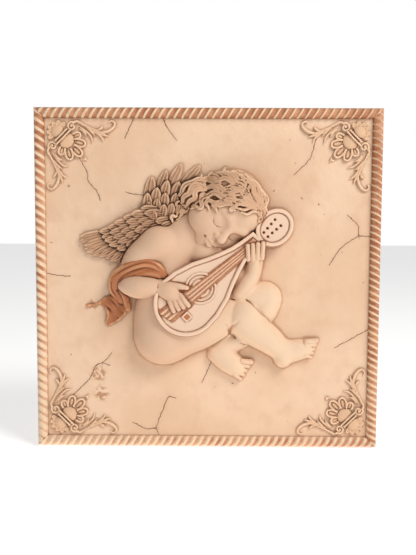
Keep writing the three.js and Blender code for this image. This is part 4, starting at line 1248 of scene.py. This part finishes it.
CROWN = (35.0, 53.5)
chance = np.random.default_rng(SEED)
for number in range(13):
    angle = 174 - 128 * number / 12
    reach = float(np.interp(angle, [46, 75, 108, 130, 174], [7, 13, 23, 31, 35]))
    angle = math.radians(angle)
    far = (CROWN[0] + reach * math.cos(angle), CROWN[1] + reach * math.sin(angle) * 0.9)
    middle = ((far[0] + CROWN[0]) / 2, (far[1] + CROWN[1]) / 2 + 1.5)
    lock([(*CROWN, 1.1), (*middle, 2.2), (*far, 1.1)], wave=chance.uniform(1.2, 2.0) * (-1) ** number,
         waves=chance.uniform(1.2, 1.7), rise=chance.uniform(0.5, 1.0))
for stations, strands, rise in (
    ([(34.5, 53.5, 1), (26.5, 59, 1.7), (22, 64.8, 1.8), (17.5, 67.2, 1.7), (14.6, 65.4, 1.3),
      (16, 62, 0.7)], 2, 1.7),
    ([(35, 54, 1), (29, 60.3, 1.7), (25, 66.8, 1.8), (20, 72.6, 1.8), (17.4, 77, 1.4), (20, 78.4, 0.7)], 2,
     1.5),
    ([(35, 54, 1), (33.6, 61.6, 1.7), (31.7, 66.8, 1.8), (27, 72.4, 1.7), (22, 76, 0.8)], 2, 1.3),
    ([(35, 54, 1), (38, 58.4, 1.7), (36.5, 64.2, 1.8), (32, 71.4, 1.6), (26, 76.4, 0.7)], 2, 1.1),
    ([(40.8, 49, 1.1), (41.6, 57.4, 1.6), (38.8, 63.5, 1.4), (34.5, 69.5, 0.7)], 2, 1.0),
    ([(34, 54, 1), (23.3, 55.9, 1.7), (15.4, 57.8, 2.0), (9, 61.2, 2.0), (3.6, 62.4, 2.0), (-1, 61, 1.9),
      (-4, 57.6, 1.7),
      (-5, 53, 1.4), (-8.4, 52.8, 1.0), (-9.6, 55.2, 0.6)], 2, 1.8),
    ([(26, 57.7, 1.2), (18.7, 58.6, 1.6), (12, 60.6, 1.7), (7.5, 64, 1.7), (2.3, 67.5, 1.6),
      (-1.8, 67.5, 1.3), (-3, 70, 0.9),
      (-0.6, 71, 0.6)], 2, 1.5),
    ([(23.5, 61, 1.3), (14.4, 62.2, 1.7), (10, 65.8, 1.7), (5, 67.8, 1.3), (1, 66, 0.6)], 2, 1.3),
    ([(22, 68.7, 1.3), (15.3, 71.5, 1.7), (10, 73, 1.7), (5.2, 72.6, 1.5), (1.4, 74.4, 1.2),
      (2.6, 78.2, 0.6)], 2, 1.4),
    ([(27, 67, 1.3), (22, 71.5, 1.6), (16, 74.4, 1.6), (12.4, 77.4, 1.3), (12, 81.4, 0.6)], 2, 1.3),
    ([(9, 70, 1.2), (3, 70.4, 1.5), (-3, 73, 1.4), (-5.4, 76.2, 0.6)], 2, 1.0),
    ([(-3, 72.4, 1.0), (-8.6, 72.4, 1.8), (-14, 69.6, 2.0), (-18.6, 65.6, 1.8), (-20.6, 61, 1.0)], 2, 0.9),
    ([(-2, 68.6, 1.0), (-7.2, 69, 1.8), (-12, 66, 2.1), (-14.4, 62, 1.9), (-18, 58.6, 1.5),
      (-19.6, 55.6, 0.8)], 2, 1.4),
    ([(-1, 65.4, 1.0), (-5.4, 65.8, 1.8), (-9.4, 63, 2.0), (-9.8, 58.8, 1.8), (-13.8, 56.4, 1.5),
      (-16.4, 53.2, 0.8)], 2, 1.8),
    ([(-0.6, 61, 1.0), (-4.6, 61.4, 1.6), (-6.4, 57.4, 1.5), (-9.8, 54.8, 1.3), (-12.6, 52.8, 0.7)], 2,
     1.5),
    ([(-24.5, 50, 0.9), (-20, 53, 1.3), (-14.6, 53.2, 1.4), (-9.4, 52.6, 1.1), (-5, 52, 0.6)], 2, 1.2),
    ([(-20.6, 57.4, 0.8), (-22.8, 54.4, 1.2), (-20.6, 51, 1.2), (-22.4, 47.8, 0.9), (-25, 46.6, 0.6)], 2,
     2.4),
    ([(22, 56, 1.1), (13.5, 55.6, 1.5), (7, 56.2, 1.6), (1.8, 57.4, 1.5), (-1.4, 54.8, 1.2), (1, 51, 0.6)],
     2, 1.6),
    ([(17, 54.4, 1.0), (10.2, 54.4, 1.4), (5.6, 55, 1.4), (4, 53.4, 1.2), (7, 49.6, 0.6)], 2, 1.5),
    ([(33, 53.8, 1.2), (26.6, 55, 1.6), (20, 54.4, 1.5), (17.2, 52.4, 1.2), (17, 50.2, 0.9),
      (19.4, 50.6, 0.6)], 2, 1.9),
    ([(34, 51.6, 0.9), (26.6, 51.8, 1.1), (20.8, 51.3, 0.6)], 1, 1.3),
    ([(34, 49.8, 0.9), (28.6, 48.9, 1.0), (23.3, 48.5, 0.6)], 1, 1.2),
    ([(35, 53, 1.2), (39, 49, 1.7), (38.8, 45, 1.5), (36.2, 42, 0.7)], 2, 1.2),
    ([(34.6, 52.5, 1.0), (36.4, 48, 1.4), (37, 44, 0.7)], 2, 1.0),
    ([(36.5, 54, 1.2), (41.4, 50.4, 1.7), (41.6, 46, 1.4), (39, 43, 0.7)], 2, 1.1),
    ([(-22.4, 46.6, 0.8), (-24.8, 46.8, 1.1), (-26.6, 44.6, 1.0), (-25, 42.8, 0.6)], 1, 2.8),
    ([(-15, 50.6, 0.8), (-17.8, 51, 1.1), (-19.6, 48.6, 1.1), (-17.6, 47.2, 0.6)], 1, 2.2),
    ([(-13.6, 52.4, 0.7), (-16, 49.6, 1.0), (-20.6, 46, 1.0), (-22, 43.6, 0.5)], 2, 3.2),
):
    lock(stations, strands, rise + 0.5, wave=chance.uniform(0.5, 0.9) * (-1) ** len(stations),
         waves=len(stations) * 0.42)

# %% Short commas over the long locks
for number in range(22):
    angle = math.radians(168 - 116 * ((number * 7) % 22) / 21)
    start = chance.uniform(8, 12) + (number % 3) * 7.5
    flow = np.array([math.cos(angle), math.sin(angle) * 0.9])
    aside = np.array([-flow[1], flow[0]]) * (1 if number % 2 else -1)
    spots = [(0, -1.2, 0.8), (2.6, 0.4, 1.5), (5.4, 0.6, 1.5), (7.8, -1.0, 1.2), (8.0, -2.9, 0.6)]
    track = [(*(np.array(CROWN) + flow * (start + u) + aside * v), w) for u, v, w in spots]
    if edge_distance(np.array([track[-2][0]]), np.array([track[-2][1]]), HAIR_EDGE)[0] < -1:
        lock(track, 2, 1.9)

# %% Tufts that stick out along the top
RIM_LINE = np.array([(-8, 71), (-3, 74), (3, 76.4), (8.6, 78), (14.6, 78.2), (20.4, 77), (26, 74),
                     (31, 69.6), (35.6, 64.6), (39.4, 59.4)])
for number, (x0, z0) in enumerate(RIM_LINE):
    inward = np.array([17.0, 58.0]) - (x0, z0)
    inward /= np.linalg.norm(inward)
    left = np.array([inward[1], -inward[0]])
    size = chance.uniform(0.7, 1.0)
    track = [(6.4, -2.2, 1.1), (3.6, -1.6, 1.7), (1.2, 0.0, 1.5), (-0.2, 1.6, 1.0), (-0.9, 3.2, 0.5)]
    hook = [(x0 + inward[0] * u * size + left[0] * v * size,
             z0 + inward[1] * u * size + left[1] * v * size, w) for u, v, w in track]
    lock(hook, 2, 1.3)

# %% Gaps that wind between the locks
for number in range(17):
    angle = math.radians(172 - 112 * number / 16)
    start, length, phase = chance.uniform(11, 17), chance.uniform(9, 16), chance.uniform(0, 2)
    share = np.linspace(0, 1, 8)
    away, swing = start + length * share, 1.5 * np.sin(math.pi * (share * 2.6 + phase))
    x = CROWN[0] + away * math.cos(angle) - swing * math.sin(angle)
    z = CROWN[1] + (away * math.sin(angle) + swing * math.cos(angle)) * 0.9
    keep = edge_distance(x, z, HAIR_EDGE) < -1.5
    if keep.sum() > 3:
        fade = np.sin(math.pi * np.clip(share, 0.08, 0.92))[keep]
        crease(hair, np.column_stack([x[keep], z[keep], 0.3 + 0.25 * fade, 1.5 * fade]), 0.25)

cast("child_hair", hair, hair_paint)

# %% [markdown]
# ## Wings
# A carved wing is a low pad under rows of overlapping feathers. All feathers share one
# shape, a blade with a shaft and slanting barbs. A node tree sets a copy at each root and
# stretches it to its own length and width. Every row starts under the row above it.

# %% The pad under the feathers
wing_bed = Clay((-100, -1.5, 8), (0, TOP, 90), 0.9)
wing_bed.limb([(-28, 43, 9, 0), (-46, 38, 10.5, 0), (-62, 30, 9, 0), (-76, 28, 5, -1.5)], lift=0.5)
wing_bed.limb([(-26, 48, 9, -0.8), (-31, 60, 9.4, -1.6), (-30, 69, 6, -1.2)], blend=3, lift=0.5)
cast("wing_bed", wing_bed, wing_paint)


# %% One feather
def feather_mesh():
    """A closed blade along x from 0 to 1; its half width and its thickness are about 1."""
    steps, across = 22, 12
    t = np.linspace(0, 1, steps + 1)
    half = np.where(t < 0.58, 0.62 + 0.38 * np.sin(t / 0.58 * math.pi / 2),
                    np.maximum(1 - ((t - 0.58) / 0.42) ** 2, 0) ** 0.75)
    v = np.linspace(-1, 1, across + 1)
    tt, vv = np.meshgrid(t, v, indexing="ij")
    hh = np.maximum(half, 0.02)[:, None]
    shaft = 0.3 * np.exp(-(vv * hh / 0.11) ** 2) - 0.34 * np.exp(-((np.abs(vv * hh) - 0.26) / 0.13) ** 2)
    barbs = 0.09 * np.sin((tt * 9 - np.abs(vv) * 1.5) * math.pi * 2) * (1 - vv ** 2)
    rim = 0.12 * np.exp(-((np.abs(vv) - 0.8) / 0.14) ** 2)
    fade_aside, fade_tip = np.minimum(1, (1 - vv ** 2) * 4) ** 0.5, np.minimum(1, (1.02 - tt) * 7) ** 0.5
    height = (0.72 + shaft + barbs + rim) * fade_aside * fade_tip
    top = np.stack([tt, vv * hh, height], -1).reshape(-1, 3)
    faces, edge = (part.tolist() for part in sheet(steps + 1, across + 1))
    under = np.stack([tt, vv * hh * 0.96, np.full(tt.shape, -0.5)], -1).reshape(-1, 3)[edge]
    below = list(range(len(top), len(top) + len(edge)))
    faces += [(b, a, c, d) for a, b, c, d in zip(edge, edge[1:] + edge[:1], below, below[1:] + below[:1])]
    faces.append(tuple(below[::-1]))
    return plain_mesh("feather", np.vstack([top, under]), faces)


# %% Rows of roots and tips
FEATHERS = [
    # line of roots, line of tips, count, half width, level near the tips
    ([(-68, 35.4), (-63, 30.6), (-54, 22)], [(-94.4, 31.8), (-88.6, 19.4), (-66, 12.6)], 11, 2.7, 2.8),
    ([(-62, 37), (-56, 31), (-49, 25)], [(-79, 35.2), (-75, 26.5), (-60, 19)], 6, 2.7, 4.6),
    ([(-57, 40), (-51, 34), (-44, 28.5)], [(-73, 38), (-68, 29), (-54, 22.8)], 6, 2.7, 5.4),
    ([(-52, 43), (-46, 37), (-40, 31.5)], [(-67.5, 41.2), (-62, 33), (-49, 26.6)], 6, 2.6, 6.0),
    ([(-47, 46), (-41, 40.5), (-35, 35)], [(-61.5, 44.6), (-56, 37.2), (-44, 30.8)], 6, 2.6, 6.4),
    ([(-42, 49), (-36, 44), (-30, 38.5)], [(-55.6, 48.2), (-49.5, 41.4), (-39, 34.8)], 6, 2.5, 6.7),
    ([(-37, 52), (-31, 47.5), (-26, 42)], [(-49, 52), (-43, 45.6), (-34, 39)], 5, 2.4, 6.9),
    ([(-44.4, 52), (-38, 58), (-31, 61.5), (-24, 62)],
     [(-40.3, 75.2), (-30, 80.2), (-18.8, 84.2), (-5.6, 84.0)], 4, 3.9, 2.6),
    ([(-43.5, 46), (-39.5, 49.5), (-34, 52.5), (-27, 54)],
     [(-43.4, 63), (-37, 67.4), (-29, 72.6), (-20.4, 72)], 4, 3.5, 4.4),
    ([(-42, 42), (-38, 45), (-32.5, 47.5), (-25.5, 49)],
     [(-42.2, 56.6), (-36, 59.4), (-30, 63.4), (-22.4, 62.6)], 4, 3.2, 5.4),
    ([(-39, 40), (-33.5, 43), (-28, 45), (-22, 46)],
     [(-38.4, 51.4), (-32, 55.8), (-25.4, 56.4), (-19.5, 55)], 4, 2.7, 6.4),
]


def along_line(points, count):
    """Evenly counted points on a polyline; with as many points as count, the points themselves."""
    points = np.array(points, float)
    t = np.linspace(0, len(points) - 1, count)
    return np.stack([np.interp(t, np.arange(len(points)), points[:, k]) for k in (0, 1)], 1)


places, aims, sizes = [], [], []
chance = np.random.default_rng(SEED + 3)
for roots, tips, count, half, top_level in FEATHERS:
    for (rx, rz), (tx, tz) in zip(along_line(roots, count), along_line(tips, count)):
        tx, tz = tx + chance.uniform(-0.7, 0.7), tz + chance.uniform(-0.7, 0.7)
        top_here = top_level + chance.uniform(-0.3, 0.5)
        spine = Vector((tx - rx, -2.2, tz - rz))
        side = Vector((0.0, -1.0, 0.0)).cross(spine).normalized()
        turned = Matrix((spine.normalized(), side, spine.normalized().cross(side))).transposed()
        places.append((rx * MM, -(FIELD + top_here - 2.6) * MM, rz * MM))
        aims.append(tuple(turned.to_euler()))
        sizes.append((spine.length * MM, half * chance.uniform(0.98, 1.2) * MM, 1.35 * MM))

# %% A tree that sets a feather at each root
plumage = Growth("feather_rows", {"Feather": "Object", "Roll": "Float", "Paint": "Material"})
blade = plumage.node("GeometryNodeObjectInfo", {}, {"Object": plumage.given("Feather")}, "Geometry")
aim, size = (plumage.node("GeometryNodeInputNamedAttribute", {"data_type": "FLOAT_VECTOR"}, {"Name": name})
             for name in ("aim", "size"))
roll = plumage.node("ShaderNodeCombineXYZ", {}, {"X": plumage.given("Roll")})
turn = plumage.node("FunctionNodeEulerToRotation", {}, {0: aim})
tip_over = plumage.node("FunctionNodeEulerToRotation", {}, {0: roll})
both = plumage.node("FunctionNodeRotateRotation", {"rotation_space": "LOCAL"}, {0: turn, 1: tip_over})
set_out = plumage.node("GeometryNodeInstanceOnPoints", {}, {
    "Points": plumage.given("Geometry"), "Instance": blade, "Rotation": both, "Scale": size})
plumage.finish(set_out)

feather_source = linked("feather_source", feather_mesh())
wing_start = point_mesh("feather_roots", places, {"aim": aims, "size": sizes})
wing_mesh = plumage.grow("wing_feathers", wing_start,
                         {"Feather": feather_source, "Roll": -0.16, "Paint": wing_paint})
bpy.data.objects.remove(feather_source)
print(len(places), "feathers")
place_mesh("wing_feathers", wing_mesh, wing_paint)

# %% [markdown]
# ## Lute
# The lute is plotted along its own axis, from the middle of the bowl to the pegs. Its
# soundboard leans back towards the pegs, with a raised lip round it, a rose of rings under
# the strings and a square bridge.

# %% The lute's own axes
LUTE_PLACE, LUTE_TURN = (-15.0, -15.6), math.pi / 4
DECK, DECK_FALL = 17.6, 0.093


def off_lute(points):
    """Points of along, rise, across brought to x, level, z on the plaque."""
    along, rise, across = points.T
    c, k = math.cos(LUTE_TURN), math.sin(LUTE_TURN)
    return np.stack([LUTE_PLACE[0] + along * c - across * k, DECK - DECK_FALL * along + rise,
                     LUTE_PLACE[1] + along * k + across * c], 1)


def rimmed_board(outline, rise, lip_top):
    """A flat board with a raised lip along its outline and a groove inside the lip."""
    over_lip = np.maximum(rise - lip_top, 0)
    lip = np.sqrt(np.maximum(np.abs(outline + 1.4) - 0.5, 0) ** 2 + over_lip ** 2) - 0.9
    board = soft_min(np.maximum(outline + 0.6, rise), np.maximum(lip, outline), 0.3)
    return -soft_min(np.hypot(outline + 3.3, rise - 0.25) - 0.6, -board, 0.3)


def bridge_square(along, across, half):
    """Distance beside the square at the lower end of the strings."""
    return np.maximum(np.abs(along + 6.2) - half, np.abs(across + 7) - half)


# %% Soundboard, lip, rose and bridge
NECK = [(0, 23.3), (9.8, 22.5), (23.1, 18.7), (34, 13.6), (42, 10.4), (51, 7.4), (60, 5.6), (70, 4.3)]
NECK_DRIFT = 1.6        # the neck bends down by this much at its far end
lute = Clay((-26, -21.5, -26.5), (72, 2.6, 26.5), 0.54)
along, rise, across = np.ix_(*lute.axes)
neck_half = np.interp(along, *np.array(NECK).T)
slope = np.gradient(neck_half[:, 0, 0], along[:, 0, 0])[:, None, None]
beside = (np.abs(across + NECK_DRIFT * np.clip(along / 55, 0, 1)) - neck_half) / np.sqrt(1 + slope ** 2)
outline = np.where(along < 0, np.sqrt(along ** 2 + across ** 2) - 23.3, np.maximum(beside, along - 70))
board = rimmed_board(outline, rise, 0.25)
from_rose = np.sqrt((along - 15) ** 2 + (across - 0.5) ** 2)
for radius, half, high in ((10.6, 0.75, 0.75), (8.3, 0.6, 0.5), (5.4, 0.8, 0.7), (2.4, 0.7, 0.5)):
    ring = np.sqrt((from_rose - radius) ** 2 + (rise - high * 0.4) ** 2) - half
    board = soft_min(board, ring, 0.2)
board = soft_min(board, np.maximum(bridge_square(along, across, 2.8), rise - 1.3), 0.4)
board = -soft_min(np.maximum(bridge_square(along, across, 2.1), 0.8 - rise), -board, 0.2)
wall = np.maximum(outline + 0.9, rise + 0.6)
lute.field[:] = np.minimum(board, wall)
cast("lute_body", lute, lute_paint, lay=off_lute)

# %% The coppered square in the bridge
pad = Clay((-9, -1, -10), (-3.5, 1.6, -4), 0.25)
along, rise, across = np.ix_(*pad.axes)
pad.field[:] = np.maximum(bridge_square(along, across, 2.0), rise - 1.0)
cast("bridge_pad", pad, copper_paint, lay=off_lute)

# %% Peg head
peg_head = Clay((66, -13, -19), (101, 2.6, 9), 0.45)
along, rise, across = np.ix_(*peg_head.axes)
PEGS = (83.0, -6.2)
turned, crossed = along - PEGS[0], across - PEGS[1]
near = np.sqrt((turned / 14.6) ** 2 + (crossed / 12.5) ** 2)
slope = np.sqrt((turned / 213.2) ** 2 + (crossed / 156.3) ** 2)
oval = near * (near - 1) / np.maximum(slope, 1e-4)
disc = np.minimum(rimmed_board(oval, rise, 0.2), np.maximum(oval + 0.9, rise + 0.6))
for row in (-1, 1):
    for k in range(4):
        off, aside = turned + 2.0 - (k - 1.5) * 4.05, crossed - 1.0 - row * (2.1 + 0.3 * k)
        hole = np.sqrt(off ** 2 + aside ** 2 + (rise * 0.45) ** 2) - 1.05
        disc = -soft_min(hole, -disc, 0.3)
peg_head.field[:] = disc
cast("lute_peg_head", peg_head, lute_paint, lay=off_lute)

# %% Strings
strings = Clay((-20, -2, -7.5), (69, 2.6, 11.5), 0.35)
along, rise, across = np.ix_(*strings.axes)


def string_band(along):
    """Middle and half width of the bundle of strings."""
    spots = [-18, 56, 67]
    return np.interp(along, spots, [3.8, -3.4, -1.9]), np.interp(along, spots, [6.5, 3.1, 1.6])


centre, half = string_band(along)
place = (across - centre) / half
crown = 0.35 * np.cos(place * 4 * math.pi)
bars = np.maximum(rise - 1.0 + crown * 0.9, (np.abs(place) - 1) * half)
low_end = -18.2 + 0.6 * np.floor(np.clip((1 - place) * 2, 0, 3.99)) - along
strings.field[:] = np.maximum(np.maximum(bars, low_end), along - 67)


def thread(points):
    """1 on the pale threads between the coppered strings."""
    centre, half = string_band(points[:, 0])
    place = (points[:, 2] - centre) / half
    return np.clip(1.6 - 5 * np.abs(np.abs((place * 2 + 10) % 1 - 0.5) - 0.5), 0, 1) * (np.abs(place) < 0.8)


cast("lute_strings", strings, string_paint, {"thread": thread}, off_lute)

# %% [markdown]
# ## Ribbon
# The ribbon goes round the child's arm, and its tail hangs beside the hip. It is cloth
# carved in the same block, so it is clay again: flat bands with round rims, and folds that
# are pressed into them along their length.

# %% The ribbon's bands and folds
ribbon = Clay((-97, -1.5, -40), (-26, 18.5, 19), 0.45)
ARM_BAND = [(-30.5, 3, 3.0, 13.0), (-36, 9.4, 4.0, 14.6), (-43, 12.0, 4.6, 15), (-51, 10.2, 5.2, 14.4),
            (-59, 6.2, 5.7, 11.4),
            (-65.6, 0.8, 5.6, 7.6), (-67.4, -7.2, 4.4, 4.4), (-63.4, -14.5, 3.2, 2.0)]
ribbon.limb(ARM_BAND, blend=0.5, lift=0.7)
ribbon.limb([(-54, 3.2, 1.4, 14.0), (-43, 5.6, 2.0, 16.0), (-34.4, 3.4, 1.6, 15.0)], blend=0.6)
ribbon.limb([(-64.5, -5, 2.8, 5.2), (-60.6, -13.4, 3.0, 3.0), (-58.6, -21, 2.4, 1.8)], blend=0.4, lift=1.2)
ribbon.limb([(-89, -19.2, 0.9, 0.6), (-87.4, -19.4, 1.3, 0.8), (-84.6, -18.6, 0.6, 0.6),
             (-80, -17.4, 0.55, 0.8)], blend=0.3)
TAIL = [(-80.4, -17.0), (-76.4, -13.4), (-71, -10.6), (-64.6, -14.2), (-58.6, -19.4), (-59.4, -24.4),
        (-64, -29.4), (-69.4, -32.6),
        (-73.8, -35.2), (-75.4, -31), (-73.6, -26.6), (-74.6, -22.6), (-77.4, -19.6)]
x, level, z = np.ix_(*ribbon.axes)
beside = edge_distance(x[:, 0, :], z[0, 0, :][None, :], TAIL)[:, None, :]
swell = 2.3 + 0.7 * np.sin((x * 0.8 - z * 0.45) * 0.62) + 0.35 * np.sin((x + z * 0.2) * 0.95)
ribbon.field[:] = soft_min(ribbon.field, plate(beside, (level - swell) * 0.9, 0.9), 0.5)
for fold in (
    [(-32, 7.0, 0.5, 0.2), (-38, 12.4, 0.9, 0.7), (-45, 13.8, 1.0, 0.9), (-53, 11.8, 1.0, 0.8),
     (-61, 8.0, 0.9, 0.8), (-69, 2.6, 0.6, 0.2)],
    [(-34, 6.6, 0.6, 0.5), (-43, 9.2, 1.2, 0.9), (-52, 7.4, 1.2, 0.9), (-60.5, 3.0, 1.0, 0.8),
     (-66.4, -3, 0.8, 0.5)],
    [(-70, -1, 0.6, 0.5), (-69.6, -7, 0.7, 0.7), (-65.4, -13.6, 0.5, 0.3)],
    [(-65.8, -7, 0.6, 0.6), (-62.2, -14.6, 0.7, 0.7), (-61, -21, 0.5, 0.3)],
    [(-77.4, -16, 0.6, 0.1), (-72, -22, 1.0, 0.6), (-66, -28, 0.8, 0.2)],
    [(-72.6, -13, 0.4, 0.1), (-67.4, -18.6, 0.7, 0.4), (-62, -24.6, 0.4, 0.1)],
):
    crease(ribbon, fold, 0.6)
cast("ribbon", ribbon, copper_paint)

# %% [markdown]
# ## Where the wash stays, with painted shade and painted highlights
# A painter brushes thin brown over the whole casting and wipes it off, and it stays where
# the cloth can't reach. A map of heights tells that place: a point that lies below the
# average around it holds the wash. Every piece gets three values per point: for fine
# hollows, for painted shade in the broad hollows beside high forms, and for crests, which
# the cloth rubs and which carry a painted highlight.

# %% A map of the front's heights
MAP_STEP = 0.5
map_size = (int(WIDTH / MAP_STEP) + 3, int(HEIGHT / MAP_STEP) + 3)


def map_cell(points):
    column = np.rint((points[:, 0] + WIDTH / 2) / MAP_STEP).astype(int) + 1
    row = np.rint((points[:, 2] + HEIGHT / 2) / MAP_STEP).astype(int) + 1
    return np.clip(column, 0, map_size[0] - 1), np.clip(row, 0, map_size[1] - 1)


heights = np.full(map_size, -1.0)
for piece in pieces.values():
    points = mesh_points(piece.data)
    ends = np.empty(len(piece.data.edges) * 2, np.int32)
    piece.data.edges.foreach_get("vertices", ends)
    middles = points[ends.reshape(-1, 2)].mean(axis=1)
    centres = np.empty(len(piece.data.polygons) * 3, np.float32)
    piece.data.polygons.foreach_get("center", centres)
    for samples in (points, middles, centres.reshape(-1, 3).astype(float) / MM):
        np.maximum.at(heights, map_cell(samples), -samples[:, 1])
for _ in range(6):
    padded = np.pad(heights, 1, mode="edge")
    near = np.max([padded[1 + i:1 + i + map_size[0], 1 + j:1 + j + map_size[1]]
                   for i in (-1, 0, 1) for j in (-1, 0, 1)], axis=0)
    heights = np.where(heights < 0, near, heights)


def looked_up(values, points):
    """The map's value at each point, weighed between its four cells."""
    u = np.clip((points[:, 0] + WIDTH / 2) / MAP_STEP + 1, 0, map_size[0] - 1.001)
    v = np.clip((points[:, 2] + HEIGHT / 2) / MAP_STEP + 1, 0, map_size[1] - 1.001)
    return between_cells(values, u, v)


FINE_REACH, BROAD_REACH = 0.95, 4.0
BACK_LEVEL, FRONT_LEVEL = 2.0, 6.0      # the wash fades out between them, towards the back
fine_average, broad_average = (blurred(heights, reach, MAP_STEP) for reach in (FINE_REACH, BROAD_REACH))
for piece in pieces.values():
    points = mesh_points(piece.data)
    level = -points[:, 1]
    front = np.clip((level - BACK_LEVEL) / (FRONT_LEVEL - BACK_LEVEL), 0, 1)
    # wash marks fine hollows, low marks painted shade beside high forms, crest_highlight marks a painted
    # highlight.
    for key, average, full in (("wash", fine_average, 0.9), ("low", broad_average, 5.0),
                               ("crest_highlight", fine_average, -0.5)):
        store(piece.data, key, front * np.clip((looked_up(average, points) - level) / full, 0, 1))
triangles = sum(len(polygon.vertices) - 2 for piece in pieces.values() for polygon in piece.data.polygons)
print(triangles, "triangles in", len(pieces), "pieces")

# %% [markdown]
# ## Floor
# A plain pale floor lies just under the plaque's lower edge. It only catches a soft shadow.

# %% Floor
FLOOR_Z = -(HEIGHT / 2 + 0.5) * MM
floor_corners = [(-4, -3, FLOOR_Z), (4, -3, FLOOR_Z), (4, 5, FLOOR_Z), (-4, 5, FLOOR_Z)]
floor = linked("floor", plain_mesh("floor", floor_corners, [(0, 1, 2, 3)]))
pale = Recipe("pale_floor")
pale.set({"Base Color": (0.9, 0.9, 0.9, 1), "Roughness": 0.8, "Specular IOR Level": 0.2,
          "Emission Color": (1.0, 1.0, 1.0, 1), "Emission Strength": 0.6})
floor.data.materials.append(pale.material)
